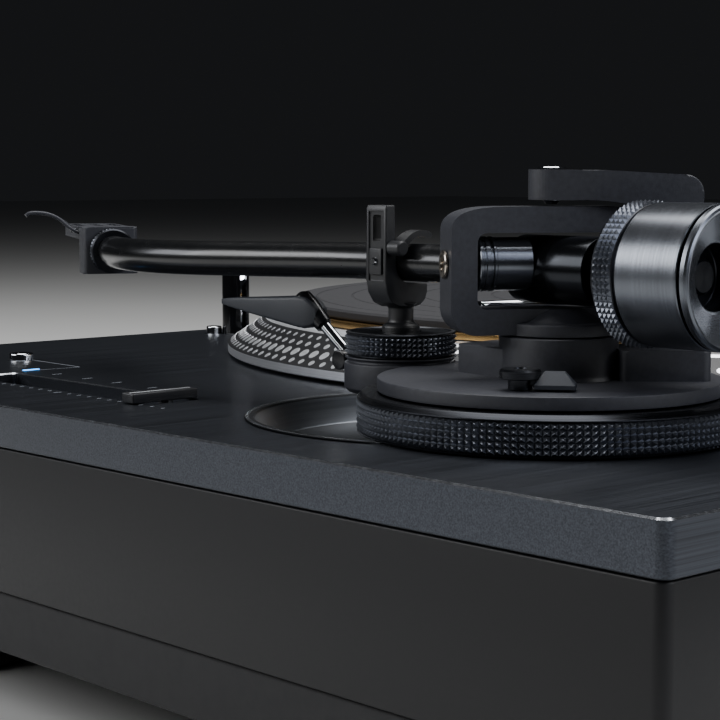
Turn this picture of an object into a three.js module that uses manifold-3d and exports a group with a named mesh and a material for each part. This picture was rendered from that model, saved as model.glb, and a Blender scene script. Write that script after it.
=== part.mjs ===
// Direct-drive record player: a table-top deck of separate solids, in millimetres, +Z up.
// The origin is on the surface under the feet, under the middle of the cabinet.
// +X is the tonearm side, +Y the rear edge with the sockets, -Y the edge that faces the user.
import * as THREE from 'three';
import { mergeVertices } from 'three/addons/utils/BufferGeometryUtils.js';
import Module from 'manifold-3d';

const wasm = await Module();
wasm.setup();

// ---- Driving dimensions -------------------------------------------------------------------

const GAP = 0.3;                // clearance between touching pieces
const WIDTH = 453;              // cabinet, side to side
const DEPTH = 372;              // cabinet, front to rear
const FOOT_HEIGHT = 28;         // floor to the underside of the base layer
const BASE_HEIGHT = 17;         // heavy rubber base layer
const CABINET_HEIGHT = 39;      // die-cast cabinet
const PANEL_THICKNESS = 11.2;   // aluminium top panel
const PANEL_REVEAL = 0.5;       // dark line between the cabinet and the panel
const CORNER = 3;               // plan radius of the cabinet corners
const WALL = 6;                 // cabinet wall

const BASE_BOTTOM = FOOT_HEIGHT;
const CABINET_BOTTOM = BASE_BOTTOM + BASE_HEIGHT + GAP;
const CABINET_TOP = CABINET_BOTTOM + CABINET_HEIGHT;
const PANEL_BOTTOM = CABINET_TOP + PANEL_REVEAL;
const PANEL_TOP = PANEL_BOTTOM + PANEL_THICKNESS;

const PLATTER_CENTRE = [-34.8, 0.7];
const PLATTER_RADIUS = 166;
const ARM_CENTRE = [158.3, 97.8];   // vertical pivot of the tonearm
const ARM_AXIS_HEIGHT = 38.2;       // arm tube axis above the top panel
const BEARING_RISE = 1.4;           // horizontal bearing line above the tube axis
const TUBE_RADIUS = 4.75;
const BEARING_ANGLE = -31.5;        // horizontal bearing line, degrees from +X
const YOKE_ANGLE = 137.4;           // fixed arm bridge, degrees from +X
const RING_RADIUS = 45.4;           // arm height ring
const PLATE_RADIUS = 40.5;          // arm base plate
const PLATE_TOP = 13.1;
const DIAL_CENTRE = [0, -50.4];     // anti-skating dial, from the arm pivot
const HEADSHELL_ANGLE = 27;         // headshell turned in from the cabinet's side
const FADER_CENTRE = [188.4, -53.6];  // speed fader slot
const FADER_LENGTH = 91.4;
const FADER_WIDTH = 16.2;

// ---- Helpers ------------------------------------------------------------------------------

const radians = THREE.MathUtils.degToRad;
const record = new THREE.Group();

function finish(colour, roughness, metalness) {
  return new THREE.MeshStandardMaterial({ color: colour, roughness, metalness });
}

const looks = {
  panel: finish(0x1a1a1c, 0.42, 0.9),
  casting: finish(0x101012, 0.7, 0.1),
  paint: finish(0x17181a, 0.6, 0.2),
  rubber: finish(0x0d0d0e, 0.9, 0),
  plastic: finish(0x141416, 0.5, 0),
  anodised: finish(0x1b1c1f, 0.35, 0.9),
  gloss: finish(0x08080a, 0.15, 0.3),
  platter: finish(0x8a8d91, 0.3, 1),
  brass: finish(0xb58a4a, 0.3, 1),
  chrome: finish(0xd8dade, 0.12, 1),
  steel: finish(0x7c8086, 0.4, 1),
  copper: finish(0x9a5a32, 0.4, 1),
  board: finish(0x1d5a38, 0.6, 0),
};

// A solid of revolution about +Z from [radius, height] points, counter-clockwise in section.
function turned(points, segments) {
  const profile = points.map(([r, z]) => new THREE.Vector2(r, z));
  const geometry = new THREE.LatheGeometry(profile, segments);
  return geometry.rotateX(Math.PI / 2);
}

// A plain ring between two radii and two heights.
function tube(inner, outer, low, high, segments) {
  return turned([[inner, low], [outer, low], [outer, high], [inner, high], [inner, low]], segments);
}

// A solid disc between two heights, with an optional chamfer on its upper edge.
function disc(radius, low, high, segments, chamfer = 0) {
  const points = [[0, low], [radius, low], [radius, high - chamfer]];
  if (chamfer > 0) points.push([radius - chamfer, high]);
  points.push([0, high]);
  return turned(points, segments);
}

function box(width, depth, low, high) {
  return new THREE.BoxGeometry(width, depth, high - low).translate(0, 0, (low + high) / 2);
}

// A flat outline with round corners, centred on the origin.
function roundedOutline(width, depth, radius) {
  const x = width / 2;
  const y = depth / 2;
  const outline = new THREE.Shape();
  outline.moveTo(-x + radius, -y);
  outline.lineTo(x - radius, -y);
  outline.absarc(x - radius, -y + radius, radius, -Math.PI / 2, 0);
  outline.lineTo(x, y - radius);
  outline.absarc(x - radius, y - radius, radius, 0, Math.PI / 2);
  outline.lineTo(-x + radius, y);
  outline.absarc(-x + radius, y - radius, radius, Math.PI / 2, Math.PI);
  outline.lineTo(-x, -y + radius);
  outline.absarc(-x + radius, -y + radius, radius, Math.PI, 1.5 * Math.PI);
  return outline;
}

function extruded(outline, low, high, curveSegments = 4) {
  const settings = { depth: high - low, bevelEnabled: false, curveSegments };
  return new THREE.ExtrudeGeometry(outline, settings).translate(0, 0, low);
}

function slab(width, depth, radius, low, high, curveSegments = 4) {
  return extruded(roundedOutline(width, depth, radius), low, high, curveSegments);
}

// An outline drawn in the XZ plane, thickened along Y from the near to the far value.
function upright(outline, near, far, curveSegments = 6) {
  const geometry = extruded(outline, -far, -near, curveSegments);
  return geometry.rotateX(Math.PI / 2);
}

// A round bar along a curve, with flat ends.
function bar(curve, radius, steps, sides = 10) {
  const section = new THREE.Shape();
  section.absarc(0, 0, radius, 0, 2 * Math.PI);
  return new THREE.ExtrudeGeometry(section, { steps, extrudePath: curve, curveSegments: sides });
}

function straight(from, to) {
  return new THREE.LineCurve3(new THREE.Vector3(...from), new THREE.Vector3(...to));
}

function smooth(points) {
  return new THREE.CatmullRomCurve3(points.map((p) => new THREE.Vector3(...p)), false, 'centripetal');
}

function solid(geometry) {
  const bare = geometry.clone();
  bare.deleteAttribute('normal');
  bare.deleteAttribute('uv');
  const merged = mergeVertices(bare.index ? bare : mergeVertices(bare), 1e-4);
  const mesh = new wasm.Mesh({
    numProp: 3,
    vertProperties: new Float32Array(merged.attributes.position.array),
    triVerts: new Uint32Array(merged.index.array),
  });
  return new wasm.Manifold(mesh);
}

function geometryOf(manifold) {
  const mesh = manifold.getMesh();
  const geometry = new THREE.BufferGeometry();
  geometry.setAttribute('position', new THREE.BufferAttribute(mesh.vertProperties, 3));
  geometry.setIndex(new THREE.BufferAttribute(mesh.triVerts, 1));
  return geometry;
}

function cut(body, ...tools) {
  return geometryOf(tools.reduce((left, tool) => left.subtract(solid(tool)), solid(body)));
}

function join(body, ...others) {
  return geometryOf(others.reduce((left, other) => left.add(solid(other)), solid(body)));
}

function add(parent, name, geometry, material, place = [0, 0, 0], turn = [0, 0, 0]) {
  const mesh = new THREE.Mesh(geometry, material);
  mesh.name = name;
  mesh.position.set(...place);
  mesh.rotation.set(...turn);
  parent.add(mesh);
  return mesh;
}

// Child group at a point; heights in it are measured from that point.
function zone(parent, place, turn = [0, 0, 0]) {
  const group = new THREE.Group();
  group.position.set(...place);
  group.rotation.set(...turn);
  parent.add(group);
  return group;
}

function polar(radius, degrees) {
  return [radius * Math.cos(radians(degrees)), radius * Math.sin(radians(degrees))];
}

// ---- Cabinet, base layer and feet ---------------------------------------------------------

const WELL = { x: ARM_CENTRE[0] - 2.9, y: ARM_CENTRE[1] - 27.9, radius: 49.6, depth: 6.5, lip: 2.3 };
const COLLAR = { outer: 35.6, inner: 30.5 };
const MOTOR_RADIUS = 88;
const FEET = [[-178, -140], [178, -140], [-178, 140], [178, 140]];
const FOOT_RADIUS = 27;
const JACKS = [-150, -128];
const INLET_X = -95;
const JACK_HEIGHT = CABINET_BOTTOM + 21;
const GROUND_X = -172;
const LAMP_PLACE = [42.0, -164.5];
const LAMP_HOLE = 5.9;
const LAMP_BUTTON_PLACE = [48.3, -169.9];
const STROBE_PLACE = [-183.5, -132];
const STROBE_HOUSING_RADIUS = 21;
const START_PLACE = [-205, -166];
const SPEED_PLACES = [['speed_button_33', -172], ['speed_button_45', -148]];
const SPEED_Y = -168;
const RESET_PLACE = [157.5, -132.3];
const RANGE_PLACE = [168.5, -156];

function hole(x, y, radius, segments = 12) {
  return disc(radius, PANEL_BOTTOM - 1, PANEL_TOP + 1, segments).translate(x, y, 0);
}

function slot(width, depth, x, y) {
  return box(width, depth, PANEL_BOTTOM - 1, PANEL_TOP + 1).translate(x, y, 0);
}

function topPanel() {
  const chamfer = 0.45;
  const plate = slab(WIDTH, DEPTH, CORNER, PANEL_BOTTOM, PANEL_TOP - chamfer);
  const rim = new THREE.ExtrudeGeometry(roundedOutline(WIDTH - 2 * chamfer, DEPTH - 2 * chamfer, CORNER), {
    depth: 0.01,
    bevelThickness: chamfer - 0.01,
    bevelSize: chamfer,
    bevelSegments: 1,
    curveSegments: 4,
  });
  rim.translate(0, 0, PANEL_TOP - chamfer);
  return cut(
    join(plate, rim),
    hole(...PLATTER_CENTRE, MOTOR_RADIUS + 2, 32),
    hole(WELL.x, WELL.y, WELL.radius + 0.6, 32),
    hole(...ARM_CENTRE, COLLAR.outer + 2, 32),
    slot(FADER_WIDTH, FADER_LENGTH, ...FADER_CENTRE),
    hole(...LAMP_PLACE, LAMP_HOLE),
    hole(...LAMP_BUTTON_PLACE, 3.3, 16),
    hole(...STROBE_PLACE, STROBE_HOUSING_RADIUS + GAP, 20),
    slot(30, 22, ...START_PLACE),
    ...SPEED_PLACES.map(([, x]) => slot(19, 10, x, SPEED_Y)),
    hole(...RESET_PLACE, 4.3, 20),
    hole(...RANGE_PLACE, 6.3, 20),
  );
}

function cabinet() {
  const outer = slab(WIDTH - 2, DEPTH - 2, CORNER, CABINET_BOTTOM, CABINET_TOP);
  const room = slab(WIDTH - 2 * WALL, DEPTH - 2 * WALL, CORNER, CABINET_BOTTOM - 1, CABINET_TOP + 1);
  const rearOpenings = [
    ...JACKS.map((x) => disc(6.5, -20, 20, 10).rotateX(Math.PI / 2).translate(x, DEPTH / 2, JACK_HEIGHT)),
    box(24, 40, 0, 17).translate(INLET_X, DEPTH / 2, JACK_HEIGHT - 8.5),
    disc(6, -20, 20, 12).rotateX(Math.PI / 2).translate(GROUND_X, DEPTH / 2, JACK_HEIGHT),
  ];
  return cut(outer, room, ...rearOpenings);
}

function footGeometry() {
  const neck = FOOT_HEIGHT - GAP;
  return turned([
    [0, 0], [FOOT_RADIUS - 2, 0], [FOOT_RADIUS, 2], [FOOT_RADIUS, 15], [FOOT_RADIUS - 6, 17.5],
    [FOOT_RADIUS - 6, neck], [0, neck],
  ], 16);
}

add(record, 'top_panel', topPanel(), looks.panel);
add(record, 'cabinet', cabinet(), looks.casting);
const baseLayer = slab(WIDTH - 5, DEPTH - 5, CORNER, BASE_BOTTOM, CABINET_BOTTOM - GAP);
add(record, 'base_layer', baseLayer, looks.rubber);
FEET.forEach(([x, y], i) => add(record, `foot_${i + 1}`, footGeometry(), looks.rubber, [x, y, 0]));

// ---- Motor, electronics and sockets -------------------------------------------------------

const hub = zone(record, [...PLATTER_CENTRE, PANEL_TOP]);
const FLOOR = CABINET_BOTTOM - PANEL_TOP + GAP;      // inside floor, from the panel's top

function statorGeometry() {
  const core = tube(12, 50, -27, -17, 18);
  const poles = Array.from({ length: 9 }, (_, i) => {
    const tooth = box(24, 13, -27, -17).translate(58, 0, 0);
    return tooth.rotateZ(radians(i * 40));
  });
  return join(core, ...poles);
}

function motorFrame() {
  const plate = tube(12, MOTOR_RADIUS, FLOOR, FLOOR + 5, 24);
  const wall = tube(12, 16, FLOOR, -30, 24);
  return join(plate, wall);
}

add(hub, 'motor_frame', motorFrame(), looks.casting);
add(hub, 'motor_stator', statorGeometry(), looks.copper);
add(hub, 'spindle_bearing', tube(4.2, 11.7, FLOOR, -3, 12), looks.brass);

function controlBoard() {
  const board = box(120, 70, 0, 1.6);
  const chips = [[-35, 12, 18, 14], [0, -10, 22, 22], [36, 14, 14, 10]];
  return join(board, ...chips.map(([x, y, w, d]) => box(w, d, 1.5, 4.5).translate(x, y, 0)));
}

function powerSupply() {
  const board = box(78, 96, 0, 1.6);
  const block = box(34, 30, 1.5, 24).translate(-16, 22, 0);
  const choke = box(20, 20, 1.5, 18).translate(22, 26, 0);
  const smoothing = [-22, 0, 22].map((x) => disc(8, 1.5, 24, 10).translate(x, -26, 0));
  return join(board, block, choke, ...smoothing);
}

const inside = CABINET_BOTTOM + GAP;
add(record, 'control_board', controlBoard(), looks.board, [-120, -125, inside]);
add(record, 'power_supply', powerSupply(), looks.board, [-160, 95, inside]);

// Behind the rear wall, heights run outwards from the back of the socket plate.
const rear = zone(record, [0, DEPTH / 2 - WALL - 2.5, JACK_HEIGHT], [-Math.PI / 2, 0, 0]);
const PLATE_FRONT = 2.2;

function terminalPlate() {
  const plate = box(108, 26, 0, PLATE_FRONT).translate(-129, 0, 0);
  const jackHoles = JACKS.map((x) => disc(6 + GAP, -5, 5, 10).translate(x, 0, 0));
  const groundHole = disc(3 + GAP, -5, 5, 10).translate(GROUND_X, 0, 0);
  return cut(plate, ...jackHoles, groundHole, box(24, 17, -5, 5).translate(INLET_X, 0, 0));
}

add(rear, 'terminal_plate', terminalPlate(), looks.casting);
const jackGeometry = () => turned([
  [2.2, -9], [6, -9], [6, 7], [4.3, 7], [4.3, -5], [2.2, -5], [2.2, -9],
], 10);
add(rear, 'phono_jack_left', jackGeometry(), looks.brass, [JACKS[0], 0, 0]);
add(rear, 'phono_jack_right', jackGeometry(), looks.brass, [JACKS[1], 0, 0]);
const terminal = turned([[0, -8], [3, -8], [3, 2.6], [5.4, 2.6], [5.4, 7.5], [0, 7.5]], 10);
add(rear, 'ground_terminal', terminal, looks.brass, [GROUND_X, 0, 0]);

function inlet() {
  const body = box(23.4, 16.4, -20, 6);
  const mouth = box(18, 11, -15, 8);
  const pins = [-5, 0, 5].map((x) => box(1.6, 4, -15.5, -3).translate(x, 0, 0));
  return join(cut(body, mouth), ...pins);
}
add(rear, 'mains_inlet', inlet(), looks.plastic, [INLET_X, 0, 0]);

// ---- Platter ------------------------------------------------------------------------------

function platter() {
  return turned([
    [8.5, 1.5], [76, 1.5], [76, -1], [86, -1], [86, 0.95], [PLATTER_RADIUS, 0.95],
    [PLATTER_RADIUS, 3.9], [152.5, 13.1], [8.5, 13.4], [8.5, 1.5],
  ], 48);
}

add(hub, 'platter', platter(), looks.platter);
add(hub, 'rotor_magnet', tube(76.5, 85.5, -2.6, -1 - GAP, 24), looks.steel);
add(hub, 'platter_top_plate', tube(8.5, 146, 13.4 + GAP, 15.6, 48), looks.brass);
add(hub, 'rubber_mat', turned([
  [4.4, 15.9], [143.2, 15.9], [143.2, 18.9], [4.4, 18.9], [4.4, 15.9],
], 48), looks.rubber);
const spindle = turned([
  [0, FLOOR + 1], [3.9, FLOOR + 1], [3.9, 0.5], [8.2, 0.5], [8.2, 15], [3.6, 15.4], [3.6, 26], [2.4, 29],
  [0, 30],
], 12);
add(hub, 'spindle', spindle, looks.chrome);

// ---- Controls on the top panel ------------------------------------------------------------

const deck = zone(record, [0, 0, PANEL_TOP]);

function faderUnit() {
  const body = box(FADER_WIDTH - 2 * GAP, FADER_LENGTH - 2 * GAP, -22, -6);
  return cut(body, box(2.6, FADER_LENGTH - 3, -16, 0), box(8, FADER_LENGTH - 8, -20, -8));
}

const STEM_SHIFT = -1.8;          // the knob reaches further over the outer side of the slot

function faderKnob() {
  const cap = slab(21.5, 5.5, 0.5, 0.3, 2.9, 2);
  return join(cap, box(1.6, 4, -12, 0.5).translate(STEM_SHIFT, 0, 0));
}

add(deck, 'speed_fader', faderUnit(), looks.plastic, [...FADER_CENTRE, 0]);
const KNOB_Y = -12.05;
add(deck, 'speed_fader_knob', faderKnob(), looks.plastic, [190.2, KNOB_Y, 0]);

function sprungButton(radius, top, low = -9) {
  return disc(radius, low, top, 16, 0.5);
}

add(deck, 'reset_button', sprungButton(3.9, 2.3), looks.chrome, [...RESET_PLACE, 0]);
add(deck, 'range_button', sprungButton(5.9, 2.6), looks.plastic, [...RANGE_PLACE, 0]);
add(deck, 'target_light_button', sprungButton(2.9, 2.8), looks.chrome, [...LAMP_BUTTON_PLACE, 0]);
add(deck, 'start_stop_button', slab(29.2, 21.2, 1.5, -9, 2.4, 3), looks.steel, [...START_PLACE, 0]);
SPEED_PLACES.forEach(([name, x]) => {
  add(deck, name, slab(18.2, 9.2, 1, -9, 1.8, 3), looks.steel, [x, SPEED_Y, 0]);
});
const lamp = turned([[0, -24], [5.1, -24], [5.1, 25.2], [0, 25.2]], 16);
const lampHead = cut(lamp, box(5, 2.6, 21.2, 24).translate(-5, 0, 0));
add(deck, 'target_light', lampHead, looks.gloss, [...LAMP_PLACE, 0]);
const sleeve = tube(5.4, 8, -36, -PANEL_THICKNESS - GAP, 12);
add(deck, 'target_light_sleeve', sleeve, looks.plastic, [...LAMP_PLACE, 0]);

function strobeHousing() {
  const drum = disc(STROBE_HOUSING_RADIUS, -PANEL_THICKNESS, 15, 24, 1);
  const bore = disc(15, 6, 20, 20);
  const window = box(14, 9, 4, 11).rotateZ(radians(40)).translate(15, 14, 0);
  return cut(drum, bore, window);
}

add(deck, 'strobe_housing', strobeHousing(), looks.plastic, [...STROBE_PLACE, 0]);
add(deck, 'power_dial', disc(14.5, 6.3, 18.5, 20, 0.8), looks.anodised, [...STROBE_PLACE, 0]);

// ---- Arm well, height ring and arm base ---------------------------------------------------

function armWell() {
  const floor = -WELL.depth;
  const pan = turned([
    [0, floor - 2], [WELL.radius, floor - 2], [WELL.radius, GAP], [WELL.radius + WELL.lip, GAP],
    [WELL.radius + WELL.lip, 0.6], [WELL.radius - 0.3, 0.6], [WELL.radius - 4.6, floor], [0, floor],
  ], 32);
  const x = ARM_CENTRE[0] - WELL.x;
  const y = ARM_CENTRE[1] - WELL.y;
  const collarHole = disc(COLLAR.outer + GAP, -20, 20, 28).translate(x, y, 0);
  const ringRelief = disc(RING_RADIUS + 0.6, 0, 4, 36).translate(x, y, 0);
  return cut(pan, collarHole, ringRelief);
}

add(deck, 'arm_well', armWell(), looks.anodised, [WELL.x, WELL.y, 0]);

const arm = zone(record, [...ARM_CENTRE, PANEL_TOP]);
const collar = turned([
  [COLLAR.inner, -30], [COLLAR.outer, -30], [COLLAR.outer, 7], [COLLAR.inner, 7], [COLLAR.inner, -30],
], 28);
add(arm, 'arm_mounting_collar', collar, looks.casting);
const heightRing = turned([
  [COLLAR.outer + GAP, 0.5], [RING_RADIUS, 0.5], [RING_RADIUS, 8.2], [RING_RADIUS - 1.4, 9.6],
  [COLLAR.outer + GAP, 9.6], [COLLAR.outer + GAP, 0.5],
], 40);
add(arm, 'arm_height_ring', heightRing, looks.anodised);

const PILLAR = { radius: 14, top: 22.9, shift: [-1.5, 1.4] };
const LIFTER = { radius: 25.5, angle: -124, shaft: 1.7 };   // cueing rail about the arm pivot
const HOUSING_RADIUS = 14.4;
const DIAL_LOW = 14.8;
const DIAL_TOP = 20.8;

// A block standing on the plate beside the yoke line: depth towards the near side, lat outwards.
function yokeBlock(latFrom, latTo, near, far, low, high) {
  const block = box(latTo - latFrom, near - far, low, high);
  block.translate((latFrom + latTo) / 2, -(near + far) / 2, 0);
  return block.rotateZ(radians(YOKE_ANGLE));
}

function armBase() {
  const plate = disc(PLATE_RADIUS, 9.9, PLATE_TOP, 40);
  const stem = disc(COLLAR.inner - 0.4, -26, 10, 24);
  const pillar = disc(PILLAR.radius, 5, PILLAR.top, 24).translate(...PILLAR.shift, 0);
  const side = new THREE.Shape();
  side.moveTo(-12, -22.4);
  side.lineTo(8.2, -22.4);
  side.lineTo(12.4, 3.7);
  side.lineTo(-12, 3.7);
  const wall = extruded(side, 11, 20);
  const housing = disc(HOUSING_RADIUS, 5.4, DIAL_LOW - GAP, 28).translate(...DIAL_CENTRE, 0);
  const footBlock = yokeBlock(15, 36, 11, -6, 11, 20.2);
  const guide = disc(3.4, 11, 20.2, 16).translate(...polar(LIFTER.radius, LIFTER.angle), 0);
  const whole = join(plate, stem, pillar, wall, housing, footBlock, guide);
  const ringRoom = tube(COLLAR.inner - 0.4, RING_RADIUS + 0.8, -2, 9.9, 40);
  const dialRoom = disc(15.4, DIAL_LOW - GAP, 30, 28).translate(...DIAL_CENTRE, 0);
  const shaftBore = disc(LIFTER.shaft + GAP, 12.6, 40, 12);
  shaftBore.translate(...polar(LIFTER.radius, LIFTER.angle), 0);
  return cut(whole, ringRoom, dialRoom, shaftBore);
}

add(arm, 'arm_base', armBase(), looks.paint);

function yoke() {
  const side = new THREE.Shape();
  side.moveTo(-5.4, 61.4);
  side.lineTo(-5.4, 54.4);
  side.lineTo(12, 54.2);
  side.lineTo(28, 52.6);
  side.lineTo(28, 20.2 + GAP);
  side.lineTo(34.4, 20.2 + GAP);
  side.lineTo(34.4, 54);
  side.absarc(30.2, 55, 4.2, 0, Math.PI / 2, false);
  side.lineTo(12, 61.2);
  const bridge = upright(side, -6, 6, 6);
  const plan = new THREE.Shape();
  plan.absarc(0, 0, 5.4, Math.PI / 2, 1.5 * Math.PI);
  plan.lineTo(20, -6);
  plan.lineTo(40, -6);
  plan.lineTo(40, 6);
  plan.lineTo(20, 6);
  const outline = solid(extruded(plan, 10, 70, 8));
  const bore = solid(disc(2.2, 50, 70, 12));
  const bracket = solid(bridge).intersect(outline).subtract(bore);
  return geometryOf(bracket).rotateZ(radians(YOKE_ANGLE));
}

add(arm, 'arm_bridge', yoke(), looks.paint);
const topBearing = turned([
  [0, 53.4], [1.5, 53.4], [1.9, 54], [1.9, 61.6], [3.4, 61.6], [3.4, 62], [0, 62],
], 12);
add(arm, 'top_bearing_screw', topBearing, looks.chrome);

function lockLever() {
  const boss = disc(4.6, PLATE_TOP + GAP, 18, 16);
  const blade = box(9.2, 6, PLATE_TOP + 0.6, 15.4).translate(7.6, 0, 0);
  const rib = box(5.4, 3, 15, 17.4).translate(7.6, 0, 0);
  return join(boss, join(blade, rib).rotateZ(radians(128)));
}

add(arm, 'height_lock_lever', lockLever(), looks.paint, [25.9, 14.4, 0]);

// ---- Anti-skating dial and arm rest -------------------------------------------------------

const dialZone = zone(arm, [...DIAL_CENTRE, 0]);
const antiSkate = turned([
  [5.2, DIAL_LOW], [14.3, DIAL_LOW], [14.3, DIAL_TOP], [5.2, DIAL_TOP],
  [5.2, DIAL_LOW],
], 32);
add(dialZone, 'anti_skate_dial', antiSkate, looks.anodised);

const CLIP_HALF = 3.6;           // half the clip's width along the tube
const CRADLE = { inner: 5.3, outer: 8.7 };

function armRest() {
  const post = turned([
    [0, DIAL_LOW], [4.8, DIAL_LOW], [4.8, 22.6], [3.2, 23.2], [3.2, 28.4], [0, 28.4],
  ], 16);
  const axis = ARM_AXIS_HEIGHT;
  const outline = new THREE.Shape();
  outline.moveTo(CRADLE.outer, 33);
  outline.lineTo(CRADLE.outer, 52.6);
  outline.lineTo(CRADLE.inner, 52.6);
  outline.lineTo(CRADLE.inner, axis);
  outline.absarc(0, axis, CRADLE.inner, 0, -Math.PI / 2, true);
  outline.lineTo(-6, axis - CRADLE.inner);
  outline.lineTo(-6, 30);
  outline.lineTo(-4, 27);
  outline.lineTo(5, 27);
  const cradle = upright(outline, -CLIP_HALF, CLIP_HALF, 6);
  const window = box(10, 3, 43.6, 50.2).translate(7, 0, 0);
  return cut(join(post, cradle), window);
}

add(dialZone, 'arm_rest', armRest(), looks.plastic);

function restLatch() {
  const axis = ARM_AXIS_HEIGHT;
  const hook = new THREE.Shape();
  hook.absarc(0, axis, 8.2, radians(24), radians(116), false);
  hook.absarc(0, axis, 6.65, radians(116), radians(24), true);
  return upright(hook, CLIP_HALF + 0.4, CLIP_HALF + 4, 5);
}

add(dialZone, 'arm_rest_latch', restLatch(), looks.plastic);

// ---- Cueing lever and lifter --------------------------------------------------------------

const CUE_PIVOT = [1.2, -67.4, 12.4];
const CUE_KNEE = [3.4, -82.3, 25.6];
const CUE_TIP = [8, -112, 25.6];

function cueLever() {
  const barrel = disc(2.6, -5, 5, 12).rotateY(Math.PI / 2).translate(...CUE_PIVOT);
  const rod = bar(straight(CUE_PIVOT, CUE_KNEE), 1.5, 1, 4);
  const start = new THREE.Vector3(...CUE_KNEE);
  const reach = new THREE.Vector3(...CUE_TIP).sub(start);
  const outline = new THREE.Shape();
  outline.moveTo(-4, -5.6);
  outline.lineTo(2, -5.6);
  outline.lineTo(reach.length(), -1.2);
  outline.lineTo(reach.length(), 0.4);
  outline.lineTo(-1, 1.4);
  outline.lineTo(-6, -3.4);
  const blade = upright(outline, -3.2, 3.2, 2);
  blade.rotateZ(Math.atan2(reach.y, reach.x)).translate(...CUE_KNEE);
  return join(barrel, rod, blade);
}

add(arm, 'cue_lever', cueLever(), looks.plastic);

function lifter() {
  const radius = LIFTER.radius;
  const points = [-94, -108, -122, -136, -150].map((a) => [...polar(radius, a), 28.2]);
  const rail = bar(smooth(points), 1.4, 12, 4);
  const post = disc(LIFTER.shaft, 15, 28, 12).translate(...polar(radius, LIFTER.angle), 0);
  return join(rail, post);
}

add(arm, 'arm_lifter', lifter(), looks.steel);

// ---- Gimbal and tonearm -------------------------------------------------------------------

const GIMBAL = { half: 25.2, low: 23.4, high: 52.9, side: 6.2, bar: 6, thick: 11 };
const BEARING_HEIGHT = ARM_AXIS_HEIGHT + BEARING_RISE;
const tilt = radians(BEARING_ANGLE);
const gimbalZone = zone(arm, [0, 0, 0], [0, 0, tilt]);

function gimbal() {
  const mid = (GIMBAL.low + GIMBAL.high) / 2;
  const height = GIMBAL.high - GIMBAL.low;
  const rim = roundedOutline(2 * GIMBAL.half, height, 9);
  const outer = upright(rim, -GIMBAL.thick / 2, GIMBAL.thick / 2, 5);
  const inner = roundedOutline(2 * (GIMBAL.half - GIMBAL.side), height - 2 * GIMBAL.bar, 2);
  const opening = upright(inner, -GIMBAL.thick, GIMBAL.thick, 4);
  [outer, opening].forEach((piece) => piece.translate(0, 0, mid));
  const bore = disc(2.7, -40, 40, 12).rotateY(Math.PI / 2).translate(0, 0, BEARING_HEIGHT);
  const hub = turned([
    [0, PILLAR.top + GAP], [12.8, PILLAR.top + GAP], [12.8, 26], [10.4, 26.2], [6.4, 29.3], [0, 29.3],
  ], 24);
  hub.translate(...PILLAR.shift, 0).rotateZ(-tilt);
  return join(cut(outer, opening, bore), hub);
}

add(gimbalZone, 'gimbal_frame', gimbal(), looks.paint);
[['bearing_screw_outer', 1], ['bearing_screw_inner', -1]].forEach(([name, side]) => {
  const screw = turned([
    [0, 16.2], [2.3, 17.6], [2.3, GIMBAL.half + 0.3], [3.3, GIMBAL.half + 0.3],
    [3.3, GIMBAL.half + 0.9], [0, GIMBAL.half + 0.9],
  ], 12);
  screw.rotateY(side * Math.PI / 2);
  add(gimbalZone, name, screw, looks.brass, [0, 0, BEARING_HEIGHT]);
});

const armLine = zone(arm, [0, 0, ARM_AXIS_HEIGHT]);

// Turned about the tube's own line: profile heights run from the front (-Y) to the rear (+Y).
function alongArm(points, segments) {
  return turned(points, segments).rotateX(-Math.PI / 2);
}

function armHousing() {
  const barrel = alongArm([
    [0, -24], [6, -24], [6, -20], [5.6, -19.7], [5.6, -8.4], [8, -8], [8, 16], [0, 16],
  ], 24);
  const trunnion = turned([
    [0, -15.8], [3, -15.8], [3, -18.4], [6.4, -18.4], [6.4, 18.4], [3, 18.4], [3, 15.8], [0, 15.8],
  ], 20).rotateY(Math.PI / 2).rotateZ(tilt);
  trunnion.translate(0, 0, BEARING_RISE);
  const tubeBore = alongArm([[0, -30], [TUBE_RADIUS + GAP, -30], [TUBE_RADIUS + GAP, -9], [0, -9]], 16);
  const tailBore = alongArm([[0, 11], [4.3, 11], [4.3, 24], [0, 24]], 12);
  return cut(join(barrel, trunnion), tubeBore, tailBore);
}

add(armLine, 'arm_housing', armHousing(), looks.anodised);

const COLLET = [-4.4, -182.9, -1.4];
const COLLET_LENGTH = 6;
const headDirection = [-Math.sin(radians(HEADSHELL_ANGLE)), -Math.cos(radians(HEADSHELL_ANGLE))];
const tubePath = smooth([
  [0, -9.4, 0], [0, -40, 0], [1, -68, -0.2], [5, -98, -0.7], [9.6, -125, -1.1], [9.2, -148, -1.3],
  [3.2, -168, -1.4], [COLLET[0] - headDirection[0] * 2.8, COLLET[1] - headDirection[1] * 2.8, -1.4],
]);
add(armLine, 'arm_tube', bar(tubePath, TUBE_RADIUS, 20, 4), looks.gloss);

// Headshell frame: +X runs forward along the headshell, +Y to its inner side.
const headZone = zone(armLine, COLLET, [0, 0, Math.atan2(headDirection[1], headDirection[0])]);
const collet = disc(6.8, -2.4, COLLET_LENGTH - 2.4, 20, 0.6).rotateY(Math.PI / 2);
add(headZone, 'headshell_collar', collet, looks.anodised);

function headshell() {
  const block = slab(12, 16.8, 1.2, -7.2, 7.2, 2).translate(9.9, 0, 0);
  const plate = slab(42, 16.4, 3, 3.2, 7.0, 3).translate(35.6, 0, 0);
  const slots = [-1, 1].map((side) => slab(22, 2.6, 1.25, 0, 10, 2).translate(38.6, side * 5.8, 0));
  return cut(join(block, plate), ...slots);
}

add(headZone, 'headshell', headshell(), looks.paint);

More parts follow.
